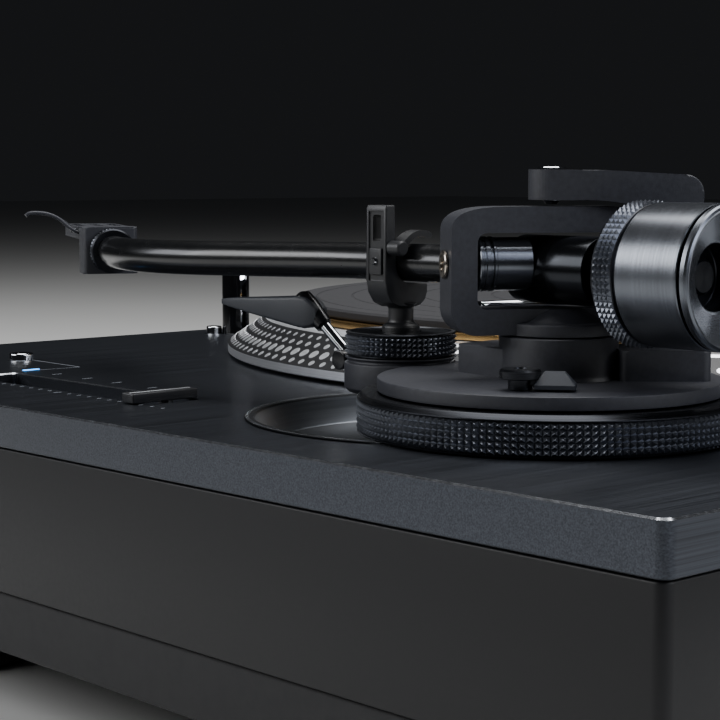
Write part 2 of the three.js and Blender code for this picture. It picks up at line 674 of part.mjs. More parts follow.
function fingerLift() {
  const curve = smooth([
    [0, 10.8, 5.2], [0.4, 13, 8], [0.8, 17.6, 10.2], [1.2, 22.4, 11.2], [1.4, 24.2, 10.4],
  ]);
  const section = new THREE.Shape();
  section.moveTo(-0.6, -3);
  section.lineTo(0.6, -3);
  section.lineTo(0.6, 3);
  section.lineTo(-0.6, 3);
  return new THREE.ExtrudeGeometry(section, { steps: 10, extrudePath: curve });
}

add(headZone, 'finger_lift', fingerLift(), looks.paint, [18, 0, 0]);

// ---- Counterweight ------------------------------------------------------------------------

const WEIGHT = { front: 25.3, ring: 31.3, rear: 50.6, radius: 16, knurl: 16.5, bore: 4.3 };
const tailShaft = alongArm([[0, 11.4], [4, 11.4], [4, 44], [0, 44]], 12);
add(armLine, 'tail_shaft', tailShaft, looks.anodised);
const forceRing = alongArm([
  [WEIGHT.bore, 20.4], [10.4, 20.4], [10.4, WEIGHT.front - GAP], [WEIGHT.bore, WEIGHT.front - GAP],
  [WEIGHT.bore, 20.4],
], 24);
add(armLine, 'stylus_force_ring', forceRing, looks.gloss);
const weight = alongArm([
  [WEIGHT.bore, WEIGHT.front], [WEIGHT.knurl, WEIGHT.front], [WEIGHT.knurl, WEIGHT.ring],
  [WEIGHT.radius, WEIGHT.ring], [WEIGHT.radius, WEIGHT.rear], [15.2, WEIGHT.rear + 0.8],
  [7.4, WEIGHT.rear - 3.4], [7.4, WEIGHT.rear - 9], [WEIGHT.bore, WEIGHT.rear - 9],
  [WEIGHT.bore, WEIGHT.front],
], 32);
add(armLine, 'counterweight', weight, looks.anodised);

export default record;
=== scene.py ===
"""Turntable record player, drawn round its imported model. Sizes in the tables are millimetres above the
top panel and from the cabinet's middle; the meshes are in metres."""
import math

import bmesh
import bpy
from bpy.props import FloatProperty, FloatVectorProperty, IntProperty, PointerProperty, StringProperty
from mathutils import Matrix, Vector


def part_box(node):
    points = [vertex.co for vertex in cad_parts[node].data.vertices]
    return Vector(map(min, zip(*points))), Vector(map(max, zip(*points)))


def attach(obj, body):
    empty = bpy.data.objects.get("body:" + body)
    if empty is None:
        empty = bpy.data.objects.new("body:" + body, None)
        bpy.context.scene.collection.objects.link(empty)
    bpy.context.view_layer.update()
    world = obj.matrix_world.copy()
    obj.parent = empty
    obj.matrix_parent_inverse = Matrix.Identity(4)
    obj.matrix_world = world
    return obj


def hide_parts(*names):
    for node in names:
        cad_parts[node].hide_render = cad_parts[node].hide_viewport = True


bl_info = {
    "name": "Turntable Record Player",
    "version": (1, 0, 0),
    "blender": (4, 5, 0),
    "location": "View3D > Sidebar > Turntable",
    "description": "Draws a direct-drive record player with its S-shaped tonearm",
    "category": "Add Mesh",
}

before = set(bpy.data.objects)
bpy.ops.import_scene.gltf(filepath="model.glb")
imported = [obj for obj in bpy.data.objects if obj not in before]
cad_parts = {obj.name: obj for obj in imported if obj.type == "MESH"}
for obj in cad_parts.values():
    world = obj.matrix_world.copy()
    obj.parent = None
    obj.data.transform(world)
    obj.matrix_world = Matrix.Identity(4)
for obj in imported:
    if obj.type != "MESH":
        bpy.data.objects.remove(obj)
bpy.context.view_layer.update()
MM = 0.001
PANEL_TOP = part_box("top_panel")[1].z / MM
PANEL_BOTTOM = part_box("top_panel")[0].z / MM


def centre_of(node):
    """Middle of a node's box in millimetres, with its height counted from the top panel."""
    low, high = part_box(node)
    mid = (low + high) / 2 / MM
    return Vector((mid.x, mid.y, mid.z - PANEL_TOP))


PLATTER = centre_of("spindle").xy
ARM = centre_of("arm_height_ring").xy
DIAL = centre_of("anti_skate_dial").xy
WELL = centre_of("arm_well").xy
TUBE_HEIGHT = 38.2
TILT_HEIGHT = 39.6
TILT_ANGLE = math.radians(-31.5)
YOKE_ANGLE = math.radians(137.4)
HEAD_ANGLE = math.radians(27)


# ---- Placing and building ---------------------------------------------------------------------


def at(x, y, z=0.0, turn=None):
    """Matrix of a local frame, in millimetres, at a point over the top panel."""
    move = Matrix.Translation((x, y, z + PANEL_TOP))
    return move if turn is None else move @ turn


def along_arm(y=0.0, z=TUBE_HEIGHT):
    """Frame whose +Z runs rearwards along the tube's line."""
    return at(ARM.x, ARM.y + y, z, Matrix.Rotation(-math.pi / 2, 4, "X"))


def spun(axis, angle):
    return Matrix.Rotation(angle, 4, axis)


def finished(bm, name, material, place, body, replaces=(), smooth=28):
    """Turns a millimetre bmesh into a piece: rounded shading, a material, a body and a slot."""
    bmesh.ops.remove_doubles(bm, verts=bm.verts, dist=1e-4)
    bmesh.ops.recalc_face_normals(bm, faces=bm.faces)
    limit = math.radians(smooth)
    for edge in bm.edges:
        edge.smooth = len(edge.link_faces) == 2 and edge.calc_face_angle(0) < limit
    for face in bm.faces:
        face.smooth = True
    mesh = bpy.data.meshes.new(name)
    bmesh.ops.scale(bm, vec=(MM, MM, MM), verts=bm.verts)
    bm.to_mesh(mesh)
    bm.free()
    piece = bpy.data.objects.new(name, mesh)
    bpy.context.scene.collection.objects.link(piece)
    scaled = place.copy()
    scaled.translation *= MM
    piece.matrix_world = scaled
    for each in material if isinstance(material, (list, tuple)) else [material]:
        mesh.materials.append(each)
    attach(piece, body)
    if replaces:
        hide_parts(*replaces)
    return piece


def spin(bm, profile, segments, start=0.0, material=0):
    """Adds a closed ring section turned about +Z; points on the axis are shared."""
    rings = []
    for radius, height in profile:
        if radius < 1e-6:
            rings.append([bm.verts.new((0, 0, height))] * segments)
            continue
        ring = []
        for step in range(segments):
            angle = start + 2 * math.pi * step / segments
            ring.append(bm.verts.new((radius * math.cos(angle), radius * math.sin(angle), height)))
        rings.append(ring)
    for lower, upper in zip(rings, rings[1:]):
        for step in range(segments):
            after = (step + 1) % segments
            corners = [lower[step], lower[after], upper[after], upper[step]]
            unique = list(dict.fromkeys(corners))
            if len(unique) > 2:
                face = bm.faces.new(unique)
                face.material_index = material
    return rings


def turned(profile, segments=96, material=0):
    bm = bmesh.new()
    spin(bm, profile, segments, material=material)
    return bm


def eased(profile, radius, steps=3):
    """Rounds every corner of a section by a radius, leaving points on the axis as they are."""
    closed = profile[0] == profile[-1]
    points = profile[:-1] if closed else profile
    result = []
    for index, here in enumerate(points):
        ends = not closed and index in (0, len(points) - 1)
        before = Vector(points[index - 1])
        after = Vector(points[(index + 1) % len(points)])
        corner = Vector(here)
        if ends or corner.x < 1e-6:
            result.append(tuple(corner))
            continue
        into, out = corner - before, after - corner
        if into.length < 1e-6 or out.length < 1e-6:
            result.append(tuple(corner))
            continue
        reach = min(radius, into.length * 0.45, out.length * 0.45)
        first = corner - into.normalized() * reach
        last = corner + out.normalized() * reach
        for step in range(steps + 1):
            t = step / steps
            result.append(tuple(first.lerp(corner, t).lerp(corner.lerp(last, t), t)))
    if closed:
        result.append(result[0])
    return result


def prism(bm, outline, low, high, place=None, material=0, bevel=0.0, segments=2):
    """Adds a flat outline raised from low to high, with its long edges rounded by bevel."""
    bottom = [bm.verts.new((x, y, low)) for x, y in outline]
    top = [bm.verts.new((x, y, high)) for x, y in outline]
    faces = [bm.faces.new(bottom[::-1]), bm.faces.new(top)]
    count = len(outline)
    for i in range(count):
        j = (i + 1) % count
        faces.append(bm.faces.new((bottom[i], bottom[j], top[j], top[i])))
    for face in faces:
        face.material_index = material
    verts = bottom + top
    if bevel > 0:
        rims = [e for e in bm.edges if e.verts[0] in set(bottom) and e.verts[1] in set(bottom)]
        rims += [e for e in bm.edges if e.verts[0] in set(top) and e.verts[1] in set(top)]
        made = bmesh.ops.bevel(
            bm, geom=rims, offset=bevel, segments=segments, affect="EDGES", profile=0.6, clamp_overlap=True)
        verts = list({v for f in made["faces"] for v in f.verts} | {v for v in verts if v.is_valid})
    if place is not None:
        reached, stack = set(), [v for v in verts if v.is_valid]
        while stack:
            vert = stack.pop()
            if vert in reached:
                continue
            reached.add(vert)
            stack.extend(e.other_vert(vert) for e in vert.link_edges)
        bmesh.ops.transform(bm, matrix=place, verts=list(reached))
    return verts


def rounded(width, depth, radius, steps=6, centre=(0, 0)):
    """Outline of a rectangle with round corners."""
    points = []
    corners = ((1, -1, -90), (1, 1, 0), (-1, 1, 90), (-1, -1, 180))
    for sx, sy, begin in corners:
        cx = centre[0] + sx * (width / 2 - radius)
        cy = centre[1] + sy * (depth / 2 - radius)
        for step in range(steps + 1):
            angle = math.radians(begin + 90 * step / steps)
            points.append((cx + radius * math.cos(angle), cy + radius * math.sin(angle)))
    return points


def arc(radius, begin, end, steps, centre=(0, 0)):
    """Points on a circle between two angles in degrees."""
    angles = [math.radians(begin + (end - begin) * s / steps) for s in range(steps + 1)]
    return [(centre[0] + radius * math.cos(a), centre[1] + radius * math.sin(a)) for a in angles]


def sweep(bm, path, sections, cap=True, material=0):
    """Skins closed sections, one (list of (u, v)) per path point, square to the path; v stays upwards."""
    rings = []
    for index, point in enumerate(path):
        here = Vector(point)
        before = Vector(path[max(index - 1, 0)])
        after = Vector(path[min(index + 1, len(path) - 1)])
        ahead = (after - before).normalized()
        up = Vector((0, 0, 1)) if abs(ahead.z) < 0.94 else Vector((0, 1, 0))
        side = ahead.cross(up).normalized()
        top = side.cross(ahead).normalized()
        rings.append([bm.verts.new(here + side * u + top * v) for u, v in sections[index]])
    for lower, upper in zip(rings, rings[1:]):
        count = len(lower)
        for i in range(count):
            j = (i + 1) % count
            bm.faces.new((lower[i], lower[j], upper[j], upper[i])).material_index = material
    if cap:
        bm.faces.new(rings[0][::-1]).material_index = material
        bm.faces.new(rings[-1]).material_index = material
    return rings


def ring_section(radius, sides=24):
    return [(radius * math.cos(2 * math.pi * s / sides), radius * math.sin(2 * math.pi * s / sides))
            for s in range(sides)]


def smooth_path(points, steps):
    """Even steps along a curve that passes through the points."""
    anchors = [Vector(p) for p in points]
    anchors = [2 * anchors[0] - anchors[1], *anchors, 2 * anchors[-1] - anchors[-2]]
    result = []
    for i in range(1, len(anchors) - 2):
        a, b, c, d = anchors[i - 1:i + 3]
        for step in range(steps):
            t = step / steps
            result.append(0.5 * (2 * b + (c - a) * t + (2 * a - 5 * b + 4 * c - d) * t * t
                                 + (3 * b - a - 3 * c + d) * t ** 3))
    result.append(anchors[-2])
    return result


def box(bm, size, centre, bevel=0.3, place=None, material=0, segments=2):
    """Adds a block, sizes and centre in millimetres, with softened edges."""
    made = bmesh.ops.create_cube(bm, size=1)["verts"]
    bmesh.ops.scale(bm, vec=size, verts=made)
    bmesh.ops.translate(bm, vec=centre, verts=made)
    if place is not None:
        bmesh.ops.transform(bm, matrix=place, verts=made)
    edges = list({e for v in made for e in v.link_edges})
    for face in {f for v in made for f in v.link_faces}:
        face.material_index = material
    if bevel > 0:
        bmesh.ops.bevel(bm, geom=edges, offset=bevel, segments=segments, affect="EDGES", profile=0.6,
                        clamp_overlap=True)


def stud(bm, profile, place=None, segments=24, material=0):
    """Adds a small turned part inside a bigger piece."""
    rings = spin(bm, profile, segments, material=material)
    if place is not None:
        verts = list(dict.fromkeys(v for ring in rings for v in ring))
        bmesh.ops.transform(bm, matrix=place, verts=verts)


def pyramids(bm, radius, low, high, count, rows, depth, material=0):
    """Knurling: a band of square points cut round a cylinder, joined to one another at their feet."""
    lines = []
    for row in range(rows + 1):
        height = low + (high - low) * row / rows
        ring = []
        for step in range(count):
            angle = 2 * math.pi * step / count
            ring.append(bm.verts.new((radius * math.cos(angle), radius * math.sin(angle), height)))
        lines.append(ring)
    for row in range(rows):
        height = low + (high - low) * (row + 0.5) / rows
        for step in range(count):
            after = (step + 1) % count
            angle = 2 * math.pi * (step + 0.5) / count
            reach = radius + depth
            tip = bm.verts.new((reach * math.cos(angle), reach * math.sin(angle), height))
            square = (lines[row][step], lines[row][after], lines[row + 1][after], lines[row + 1][step])
            for i in range(4):
                bm.faces.new((square[i], square[(i + 1) % 4], tip)).material_index = material
    return lines


def carved(piece, *cutters):
    """Cuts closed bmeshes, given in the piece's own millimetres, out of a piece."""
    for index, cutter in enumerate(cutters):
        bmesh.ops.recalc_face_normals(cutter, faces=cutter.faces)
        bmesh.ops.scale(cutter, vec=(MM, MM, MM), verts=cutter.verts)
        mesh = bpy.data.meshes.new(f"{piece.name}_cutter_{index}")
        cutter.to_mesh(mesh)
        cutter.free()
        tool = bpy.data.objects.new(mesh.name, mesh)
        bpy.context.scene.collection.objects.link(tool)
        tool.matrix_world = piece.matrix_world
        bpy.context.view_layer.update()
        cut = piece.modifiers.new("cut", "BOOLEAN")
        cut.operation = "DIFFERENCE"
        cut.solver = "EXACT"
        cut.object = tool
        graph = bpy.context.evaluated_depsgraph_get()
        result = bpy.data.meshes.new_from_object(piece.evaluated_get(graph))
        if len(result.vertices) < 4:
            raise RuntimeError(f"cutting {piece.name} left nothing")
        piece.modifiers.clear()
        old = piece.data
        piece.data = result
        result.name = old.name
        bpy.data.meshes.remove(old)
        bpy.data.objects.remove(tool)
        bpy.data.meshes.remove(mesh)
    return piece


# ---- Finishes ---------------------------------------------------------------------------------


def linear(code):
    """Linear RGBA of an sRGB hex value."""
    parts = [int(code[i:i + 2], 16) / 255 for i in (1, 3, 5)]
    return tuple(p / 12.92 if p <= 0.04045 else ((p + 0.055) / 1.055) ** 2.4 for p in parts) + (1.0,)


def node(tree, kind, settings=None, links=None):
    """Adds one node; settings are properties or socket values, links are socket: (node, socket)."""
    made = tree.nodes.new(kind)
    for key, value in (settings or {}).items():
        if isinstance(key, str) and hasattr(made, key) and key not in made.inputs:
            setattr(made, key, value)
        else:
            made.inputs[key].default_value = value
    for socket, (source, output) in (links or {}).items():
        tree.links.new(source.outputs[output], made.inputs[socket])
    return made


def surface(name, colour, metallic, roughness, **sockets):
    """A material and its shader; every even value is set on the shader's own sockets."""
    material = bpy.data.materials.new(name)
    material.use_nodes = True
    tree = material.node_tree
    shader = tree.nodes["Principled BSDF"]
    values = {"Base Color": colour, "Metallic": metallic, "Roughness": roughness}
    for socket, value in {**values, **sockets}.items():
        shader.inputs[socket].default_value = value
    return material, tree, shader


def mottled(tree, shader, colours, roughness, scale, stretch=(1, 1, 1), detail=4):
    """Uneven colour and sheen from one noise; stretch draws it out along an axis."""
    where = node(tree, "ShaderNodeTexCoord")
    placed = node(tree, "ShaderNodeMapping", {"Scale": stretch}, {"Vector": (where, "Object")})
    noise = node(tree, "ShaderNodeTexNoise", {"Scale": scale, "Detail": detail},
                 {"Vector": (placed, "Vector")})
    tint = node(tree, "ShaderNodeMix", {"data_type": "RGBA", 6: colours[0], 7: colours[1]},
                {0: (noise, "Fac")})
    tree.links.new(tint.outputs[2], shader.inputs["Base Color"])
    sheen = node(tree, "ShaderNodeMapRange", {"To Min": roughness[0], "To Max": roughness[1]},
                 {"Value": (noise, "Fac")})
    tree.links.new(sheen.outputs["Result"], shader.inputs["Roughness"])
    return noise


def raised(tree, shader, source, output, strength, depth_mm):
    """Bump of a real depth in millimetres."""
    bump = node(tree, "ShaderNodeBump", {"Strength": strength, "Distance": depth_mm * MM},
                {"Height": (source, output)})
    tree.links.new(bump.outputs["Normal"], shader.inputs["Normal"])
    return bump


def brushed_panel():
    """Anodised aluminium, line brushed along the cabinet: fine long streaks that soften what it mirrors."""
    material, tree, shader = surface("Anodised aluminium, brushed", linear("#2e3034"), 0.9, 0.34,
                                     Anisotropic=0.55)
    # Brush lines are about 0.15 mm apart and tens of millimetres long.
    lines = mottled(tree, shader, (linear("#17181b"), linear("#565a62")), (0.22, 0.46), 1000,
                    (0.012, 2.6, 2.6), 5)
    raised(tree, shader, lines, "Fac", 0.12, 0.01)
    tangent = node(tree, "ShaderNodeTangent", {"direction_type": "RADIAL", "axis": "Y"})
    tree.links.new(tangent.outputs["Tangent"], shader.inputs["Tangent"])
    return material


def bright_edge():
    """Bare aluminium where a diamond tool cut through the anodising: a thin bright line."""
    material, tree, shader = surface("Aluminium, diamond cut", linear("#c9ccd2"), 1.0, 0.22)
    mottled(tree, shader, (linear("#b4b8bf"), linear("#d9dce2")), (0.16, 0.28), 900)
    return material


def cast_paint():
    """Die-cast aluminium under satin enamel: faint orange peel, no clear reflections."""
    material, tree, shader = surface("Enamel on die casting", linear("#0e0e10"), 0.0, 0.5,
                                     **{"Specular IOR Level": 0.3})
    peel = mottled(tree, shader, (linear("#0b0b0d"), linear("#121214")), (0.42, 0.56), 700)
    raised(tree, shader, peel, "Fac", 0.15, 0.03)
    return material


def texture_paint():
    """Fine-texture powder coat on machined parts: a dry grain of about 0.3 mm that glitters softly."""
    material, tree, shader = surface("Powder coat, fine texture", linear("#2c2d32"), 0.1, 0.5)
    mottled(tree, shader, (linear("#222328"), linear("#383a41")), (0.38, 0.58), 900)
    where = node(tree, "ShaderNodeTexCoord")
    grain = node(tree, "ShaderNodeTexNoise", {"Scale": 2600.0, "Detail": 2.0}, {"Vector": (where, "Object")})
    raised(tree, shader, grain, "Fac", 0.35, 0.05)
    return material


def turned_black(name="Anodised aluminium, turned", dark="#1d1e21", light="#33353a", rough=(0.22, 0.34)):
    """Black anodised aluminium off the lathe: tool rings that stretch each highlight across them."""
    material, tree, shader = surface(name, linear(dark), 0.9, 0.28, Anisotropic=0.6)
    # Tool rings 0.25 mm apart, along the part's own axis.
    rings = mottled(tree, shader, (linear(dark), linear(light)), rough, 1000, (0.03, 0.03, 3.0), 3)
    raised(tree, shader, rings, "Fac", 0.10, 0.01)
    tangent = node(tree, "ShaderNodeTangent", {"direction_type": "RADIAL", "axis": "Z"})
    tree.links.new(tangent.outputs["Tangent"], shader.inputs["Tangent"])
    return material


def knurl_painted_sheen():
    """Black anodised knurling, coloured a lighter grey all over as painted sheen for the light its facets
    catch; the noise varies it at random.
    """
    material, tree, shader = surface("Anodised aluminium, knurled", linear("#5a5d64"), 0.9, 0.32)
    mottled(tree, shader, (linear("#4a4d54"), linear("#71757d")), (0.24, 0.36), 600)
    return material


def gloss_tube():
    """Hard gloss anodising on a drawn tube: near-black with clean long reflections."""
    material, tree, shader = surface("Anodised tube, polished", linear("#0e0f10"), 0.2, 0.26,
                                     **{"Coat Weight": 0.25, "Coat Roughness": 0.12})
    mottled(tree, shader, (linear("#0b0c0d"), linear("#141517")), (0.22, 0.30), 300)
    return material


def moulded(name="ABS, moulded", dark="#161719", light="#1f2023", rough=(0.38, 0.5)):
    """Moulded ABS with a spark-eroded grain of about 0.2 mm: an even satin black."""
    material, tree, shader = surface(name, linear(dark), 0.0, rough[0])
    grain = mottled(tree, shader, (linear(dark), linear(light)), rough, 1800)
    raised(tree, shader, grain, "Fac", 0.18, 0.02)
    return material


def gloss_plastic():
    """Polished black acrylic: deep and clear, with only a trace of unevenness."""
    material, tree, shader = surface("Acrylic, polished", linear("#08090a"), 0.0, 0.1)
    mottled(tree, shader, (linear("#070708"), linear("#0d0e10")), (0.08, 0.14), 200)
    return material


def rubber(name="Rubber, moulded", dark="#131314", light="#1c1c1e"):
    """Moulded rubber: matte, slightly dusty, with a soft grain."""
    material, tree, shader = surface(name, linear(dark), 0.0, 0.8)
    dust = mottled(tree, shader, (linear(dark), linear(light)), (0.7, 0.9), 350)
    raised(tree, shader, dust, "Fac", 0.25, 0.05)
    return material


def polished_rim():
    """Turned and polished aluminium: bright, drawn round the platter by the tool."""
    material, tree, shader = surface("Aluminium, turned and polished", linear("#e2e4e8"), 0.75, 0.34,
                                     Anisotropic=0.6)
    rings = mottled(tree, shader, (linear("#d2d5da"), linear("#f2f3f5")), (0.24, 0.36), 1000,
                    (0.02, 0.02, 2.0), 3)
    raised(tree, shader, rings, "Fac", 0.08, 0.01)
    tangent = node(tree, "ShaderNodeTangent", {"direction_type": "RADIAL", "axis": "Z"})
    tree.links.new(tangent.outputs["Tangent"], shader.inputs["Tangent"])
    return material


def strobe_black():
    """Black paint on the sloped rim, behind the dots."""
    material, tree, shader = surface("Enamel, sprayed black", linear("#101113"), 0.0, 0.32)
    mottled(tree, shader, (linear("#0d0e10"), linear("#17181b")), (0.40, 0.52), 500)
    return material


def brass():
    """Turned brass under clear lacquer: warm, with fine rings."""
    material, tree, shader = surface("Brass, turned", linear("#b08a4e"), 1.0, 0.25)
    mottled(tree, shader, (linear("#b08c56"), linear("#c09c66")), (0.22, 0.3), 900, (0.03, 0.03, 0.2))
    return material


def chrome():
    """Bright chrome plate: a clear mirror with the least haze."""
    material, tree, shader = surface("Steel, chrome plated", linear("#d4d7db"), 1.0, 0.08)
    mottled(tree, shader, (linear("#c9ccd1"), linear("#e0e3e7")), (0.05, 0.11), 250)
    return material


def nickel():
    """Nickel-plated screw heads: bright with a faint warm cast."""
    material, tree, shader = surface("Steel, nickel plated", linear("#b9aea0"), 1.0, 0.2)
    mottled(tree, shader, (linear("#a3988a"), linear("#cdc3b6")), (0.14, 0.26), 500)
    return material


def satin_steel():
    """Satin stainless steel, brushed: soft streaks along its length."""
    material, tree, shader = surface("Steel, satin", linear("#8d9096"), 1.0, 0.32)
    mottled(tree, shader, (linear("#7c7f85"), linear("#a3a6ac")), (0.26, 0.4), 800, (0.05, 1, 1))
    return material


def printed(name, code):
    """Screen ink on metal: flat, slightly raised and a little rough at its edge."""
    material, tree, shader = surface(name, linear(code), 0.0, 0.5)
    shade = tuple(c * 0.86 for c in linear(code)[:3]) + (1.0,)
    mottled(tree, shader, (shade, linear(code)), (0.45, 0.58), 1500)
    return material


def lamp(name, code, strength):
    """A light-emitting diode behind a clear lens: a small even glow."""
    material, tree, shader = surface(name, linear(code), 0.0, 0.2,
                                     **{"Emission Color": linear(code), "Emission Strength": strength})
    mottled(tree, shader, (linear(code), linear(code)), (0.15, 0.25), 400)
    return material


def copper():
    """Enamelled copper winding: fine parallel wires of about 0.4 mm."""
    material, tree, shader = surface("Copper, enamelled wire", linear("#9c5a31"), 1.0, 0.3)
    where = node(tree, "ShaderNodeTexCoord")
    wires = node(tree, "ShaderNodeTexWave", {"Scale": 400.0, "Distortion": 0.6},
                 {"Vector": (where, "Object")})
    mottled(tree, shader, (linear("#7d4423"), linear("#b87443")), (0.22, 0.4), 300)
    raised(tree, shader, wires, "Fac", 0.5, 0.1)
    return material


def circuit_board():
    """Glass-epoxy board under green solder mask: a satin coat with mottled depth."""
    material, tree, shader = surface("Epoxy board, masked", linear("#1d4a33"), 0.0, 0.3)
    mottled(tree, shader, (linear("#173d2a"), linear("#27593e")), (0.22, 0.4), 500)
    return material


class Finishes:
    """Every finish, made once and shared by the pieces."""

    def __init__(self):
        self.panel = brushed_panel()
        self.edge = bright_edge()
        self.casting = cast_paint()
        self.paint = texture_paint()
        self.turned = turned_black()
        self.knurl = knurl_painted_sheen()
        self.well = turned_black("Anodised dish, turned", "#191a1c", "#2a2c2f", (0.3, 0.42))
        self.slope = turned_black("Anodised slope, turned", "#4a4d52", "#6a6e74", (0.26, 0.36))
        # The counterweight body and its rear cone are lighter copies of the black turned finish: painted
        # sheen for their broad highlights.
        self.weight = turned_black("Anodised weight, turned", "#505358", "#74787f", (0.2, 0.28))
        self.cone = turned_black("Turned cone, painted sheen", "#777b82", "#a3a7ae", (0.16, 0.24))
        self.drum = turned_black("Anodised drum, polished", "#1f2124", "#2c2e32", (0.14, 0.2))
        self.dark_knob = moulded("Nylon, polished", "#0f1012", "#16171a", (0.2, 0.28))
        self.tube = gloss_tube()
        self.plastic = moulded()
        self.handle = moulded("Nylon, moulded", "#26292f", "#33373e", (0.45, 0.58))
        self.gloss = gloss_plastic()
        self.rubber = rubber()
        self.mat = rubber("Rubber mat, moulded", "#1b1b1d", "#26262a")
        self.rim = polished_rim()
        self.strobe = strobe_black()
        self.brass = brass()
        self.chrome = chrome()
        self.steel = satin_steel()
        self.nickel = nickel()
        self.white_ink = printed("Screen ink, white", "#d7dadd")
        self.grey_ink = printed("Screen ink, grey", "#8b9097")
        self.white_lamp = lamp("White lamp", "#f2f6ff", 14.0)
        self.blue_lamp = lamp("Blue lamp", "#49a6ff", 5.0)
        self.copper = copper()
        self.board = circuit_board()


FINISH = Finishes()


# ---- Sizes and colours that a user would change ------------------------------------------------


def millimetres(name, text, default, low=0.01, high=500.0):
    return FloatProperty(name=name, description=text, default=default, min=low, max=high, unit="NONE")


class DeckSizes(bpy.types.PropertyGroup):
    chamfer: millimetres("Panel chamfer", "Width of the bright cut round the top panel, mm", 0.45)
    corner: millimetres("Corner radius", "Plan radius of the cabinet corners, mm", 3.0)
    dot_large: millimetres("Large dots", "Radius of the platter's large dots, mm", 1.8)
    dot_small: millimetres("Small dots", "Radius of the platter's small dots, mm", 1.15)
    dots_round: IntProperty(name="Dots round", description="Dots in one row of the rim", default=180, min=60)
    mat_grooves: IntProperty(name="Mat grooves", description="Rings moulded in the mat", default=7, min=1)


class ArmSizes(bpy.types.PropertyGroup):
    ring_points: IntProperty(name="Ring knurling", description="Points round the height ring", default=163)
    dial_points: IntProperty(name="Dial knurling", description="Points round the small dial", default=62)
    weight_points: IntProperty(name="Weight knurling", description="Points round the weight's rim",
                               default=70)
    knurl_depth: millimetres("Knurl depth", "Height of each knurled point, mm", 0.8)
    tube_radius: millimetres("Tube radius", "Radius of the S-shaped tube, mm", 4.75)


class StageLook(bpy.types.PropertyGroup):
    floor: FloatVectorProperty(name="Floor", description="Colour of the floor", subtype="COLOR", size=3,
                               default=linear("#d9d9d7")[:3], min=0, max=1)
    backdrop: FloatVectorProperty(name="Backdrop", description="Colour of the air round the deck",
                                  subtype="COLOR", size=3, default=linear("#232426")[:3], min=0, max=1)
    key: FloatProperty(name="Overhead light", description="Power of the large light", default=34.0,
                       unit="POWER")
    side: FloatProperty(name="Side light", description="Power of the side light", default=9.0, unit="POWER")


# ---- Cabinet ----------------------------------------------------------------------------------


def stack(bm, loops, materials=None, caps=True):
    """Skins outlines of equal length at rising heights: the sides of a moulded or cast body."""
    rings = [[bm.verts.new((x, y, z)) for x, y in outline] for outline, z in loops]
    for index, (lower, upper) in enumerate(zip(rings, rings[1:])):
        count = len(lower)
        for i in range(count):
            j = (i + 1) % count
            face = bm.faces.new((lower[i], lower[j], upper[j], upper[i]))
            face.material_index = materials[index] if materials else 0
    if caps:
        bm.faces.new(rings[0][::-1])
        bm.faces.new(rings[-1]).material_index = 0
    return rings


def eased_block(bm, width, depth, corner, low, high, ease, centre=(0, 0), steps=6, material=0):
    """A block with round corners whose upper and lower rims are rounded too."""
    loops = []
    for t in (0, 30, 60, 90):
        a = math.radians(t)
        inset = ease * (1 - math.sin(a))
        z = low + ease * (1 - math.cos(a))
        loops.append((rounded(width - 2 * inset, depth - 2 * inset, max(corner - inset, 0.05), steps,
                              centre), z))
    for t in (90, 60, 30, 0):
        a = math.radians(t)
        inset = ease * (1 - math.sin(a))
        z = high - ease * (1 - math.cos(a))
        loops.append((rounded(width - 2 * inset, depth - 2 * inset, max(corner - inset, 0.05), steps,
                              centre), z))
    stack(bm, loops, [material] * (len(loops) - 1))


def span(node_name):
    """Box of a node in millimetres above the top panel: (lowest, highest)."""
    low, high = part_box(node_name)
    shift = Vector((0, 0, PANEL_TOP))
    return low / MM - shift, high / MM - shift


def round_cutter(x, y, radius, low=-40, high=20, flare=0.0, segments=64):
    """A drill for the panel; flare leaves a bright countersink at the surface."""
    profile = [(0, low), (radius, low), (radius, -flare), (radius + flare, 0), (radius + flare, high),
               (0, high)]
    if flare <= 0:
        profile = [(0, low), (radius, low), (radius, high), (0, high)]
    bm = bmesh.new()
    rings = spin(bm, profile, segments)
    if flare > 0:
        bright = set(rings[2]) | set(rings[3])
        for face in bm.faces:
            if all(v in bright for v in face.verts):
                face.material_index = 1
    bmesh.ops.translate(bm, vec=(x, y, 0), verts=bm.verts)
    return bm


def square_cutter(x, y, width, depth, radius, low=-40, high=20, flare=0.0):
    inner = rounded(width, depth, radius, 4, (x, y))
    outer = rounded(width + 2 * flare, depth + 2 * flare, radius + flare, 4, (x, y))
    bm = bmesh.new()
    loops = [(inner, low), (inner, -flare), (outer, 0.0), (outer, high)] if flare else [(inner, low),
                                                                                        (inner, high)]
    stack(bm, loops, [0, 1, 0] if flare else [0])
    return bm


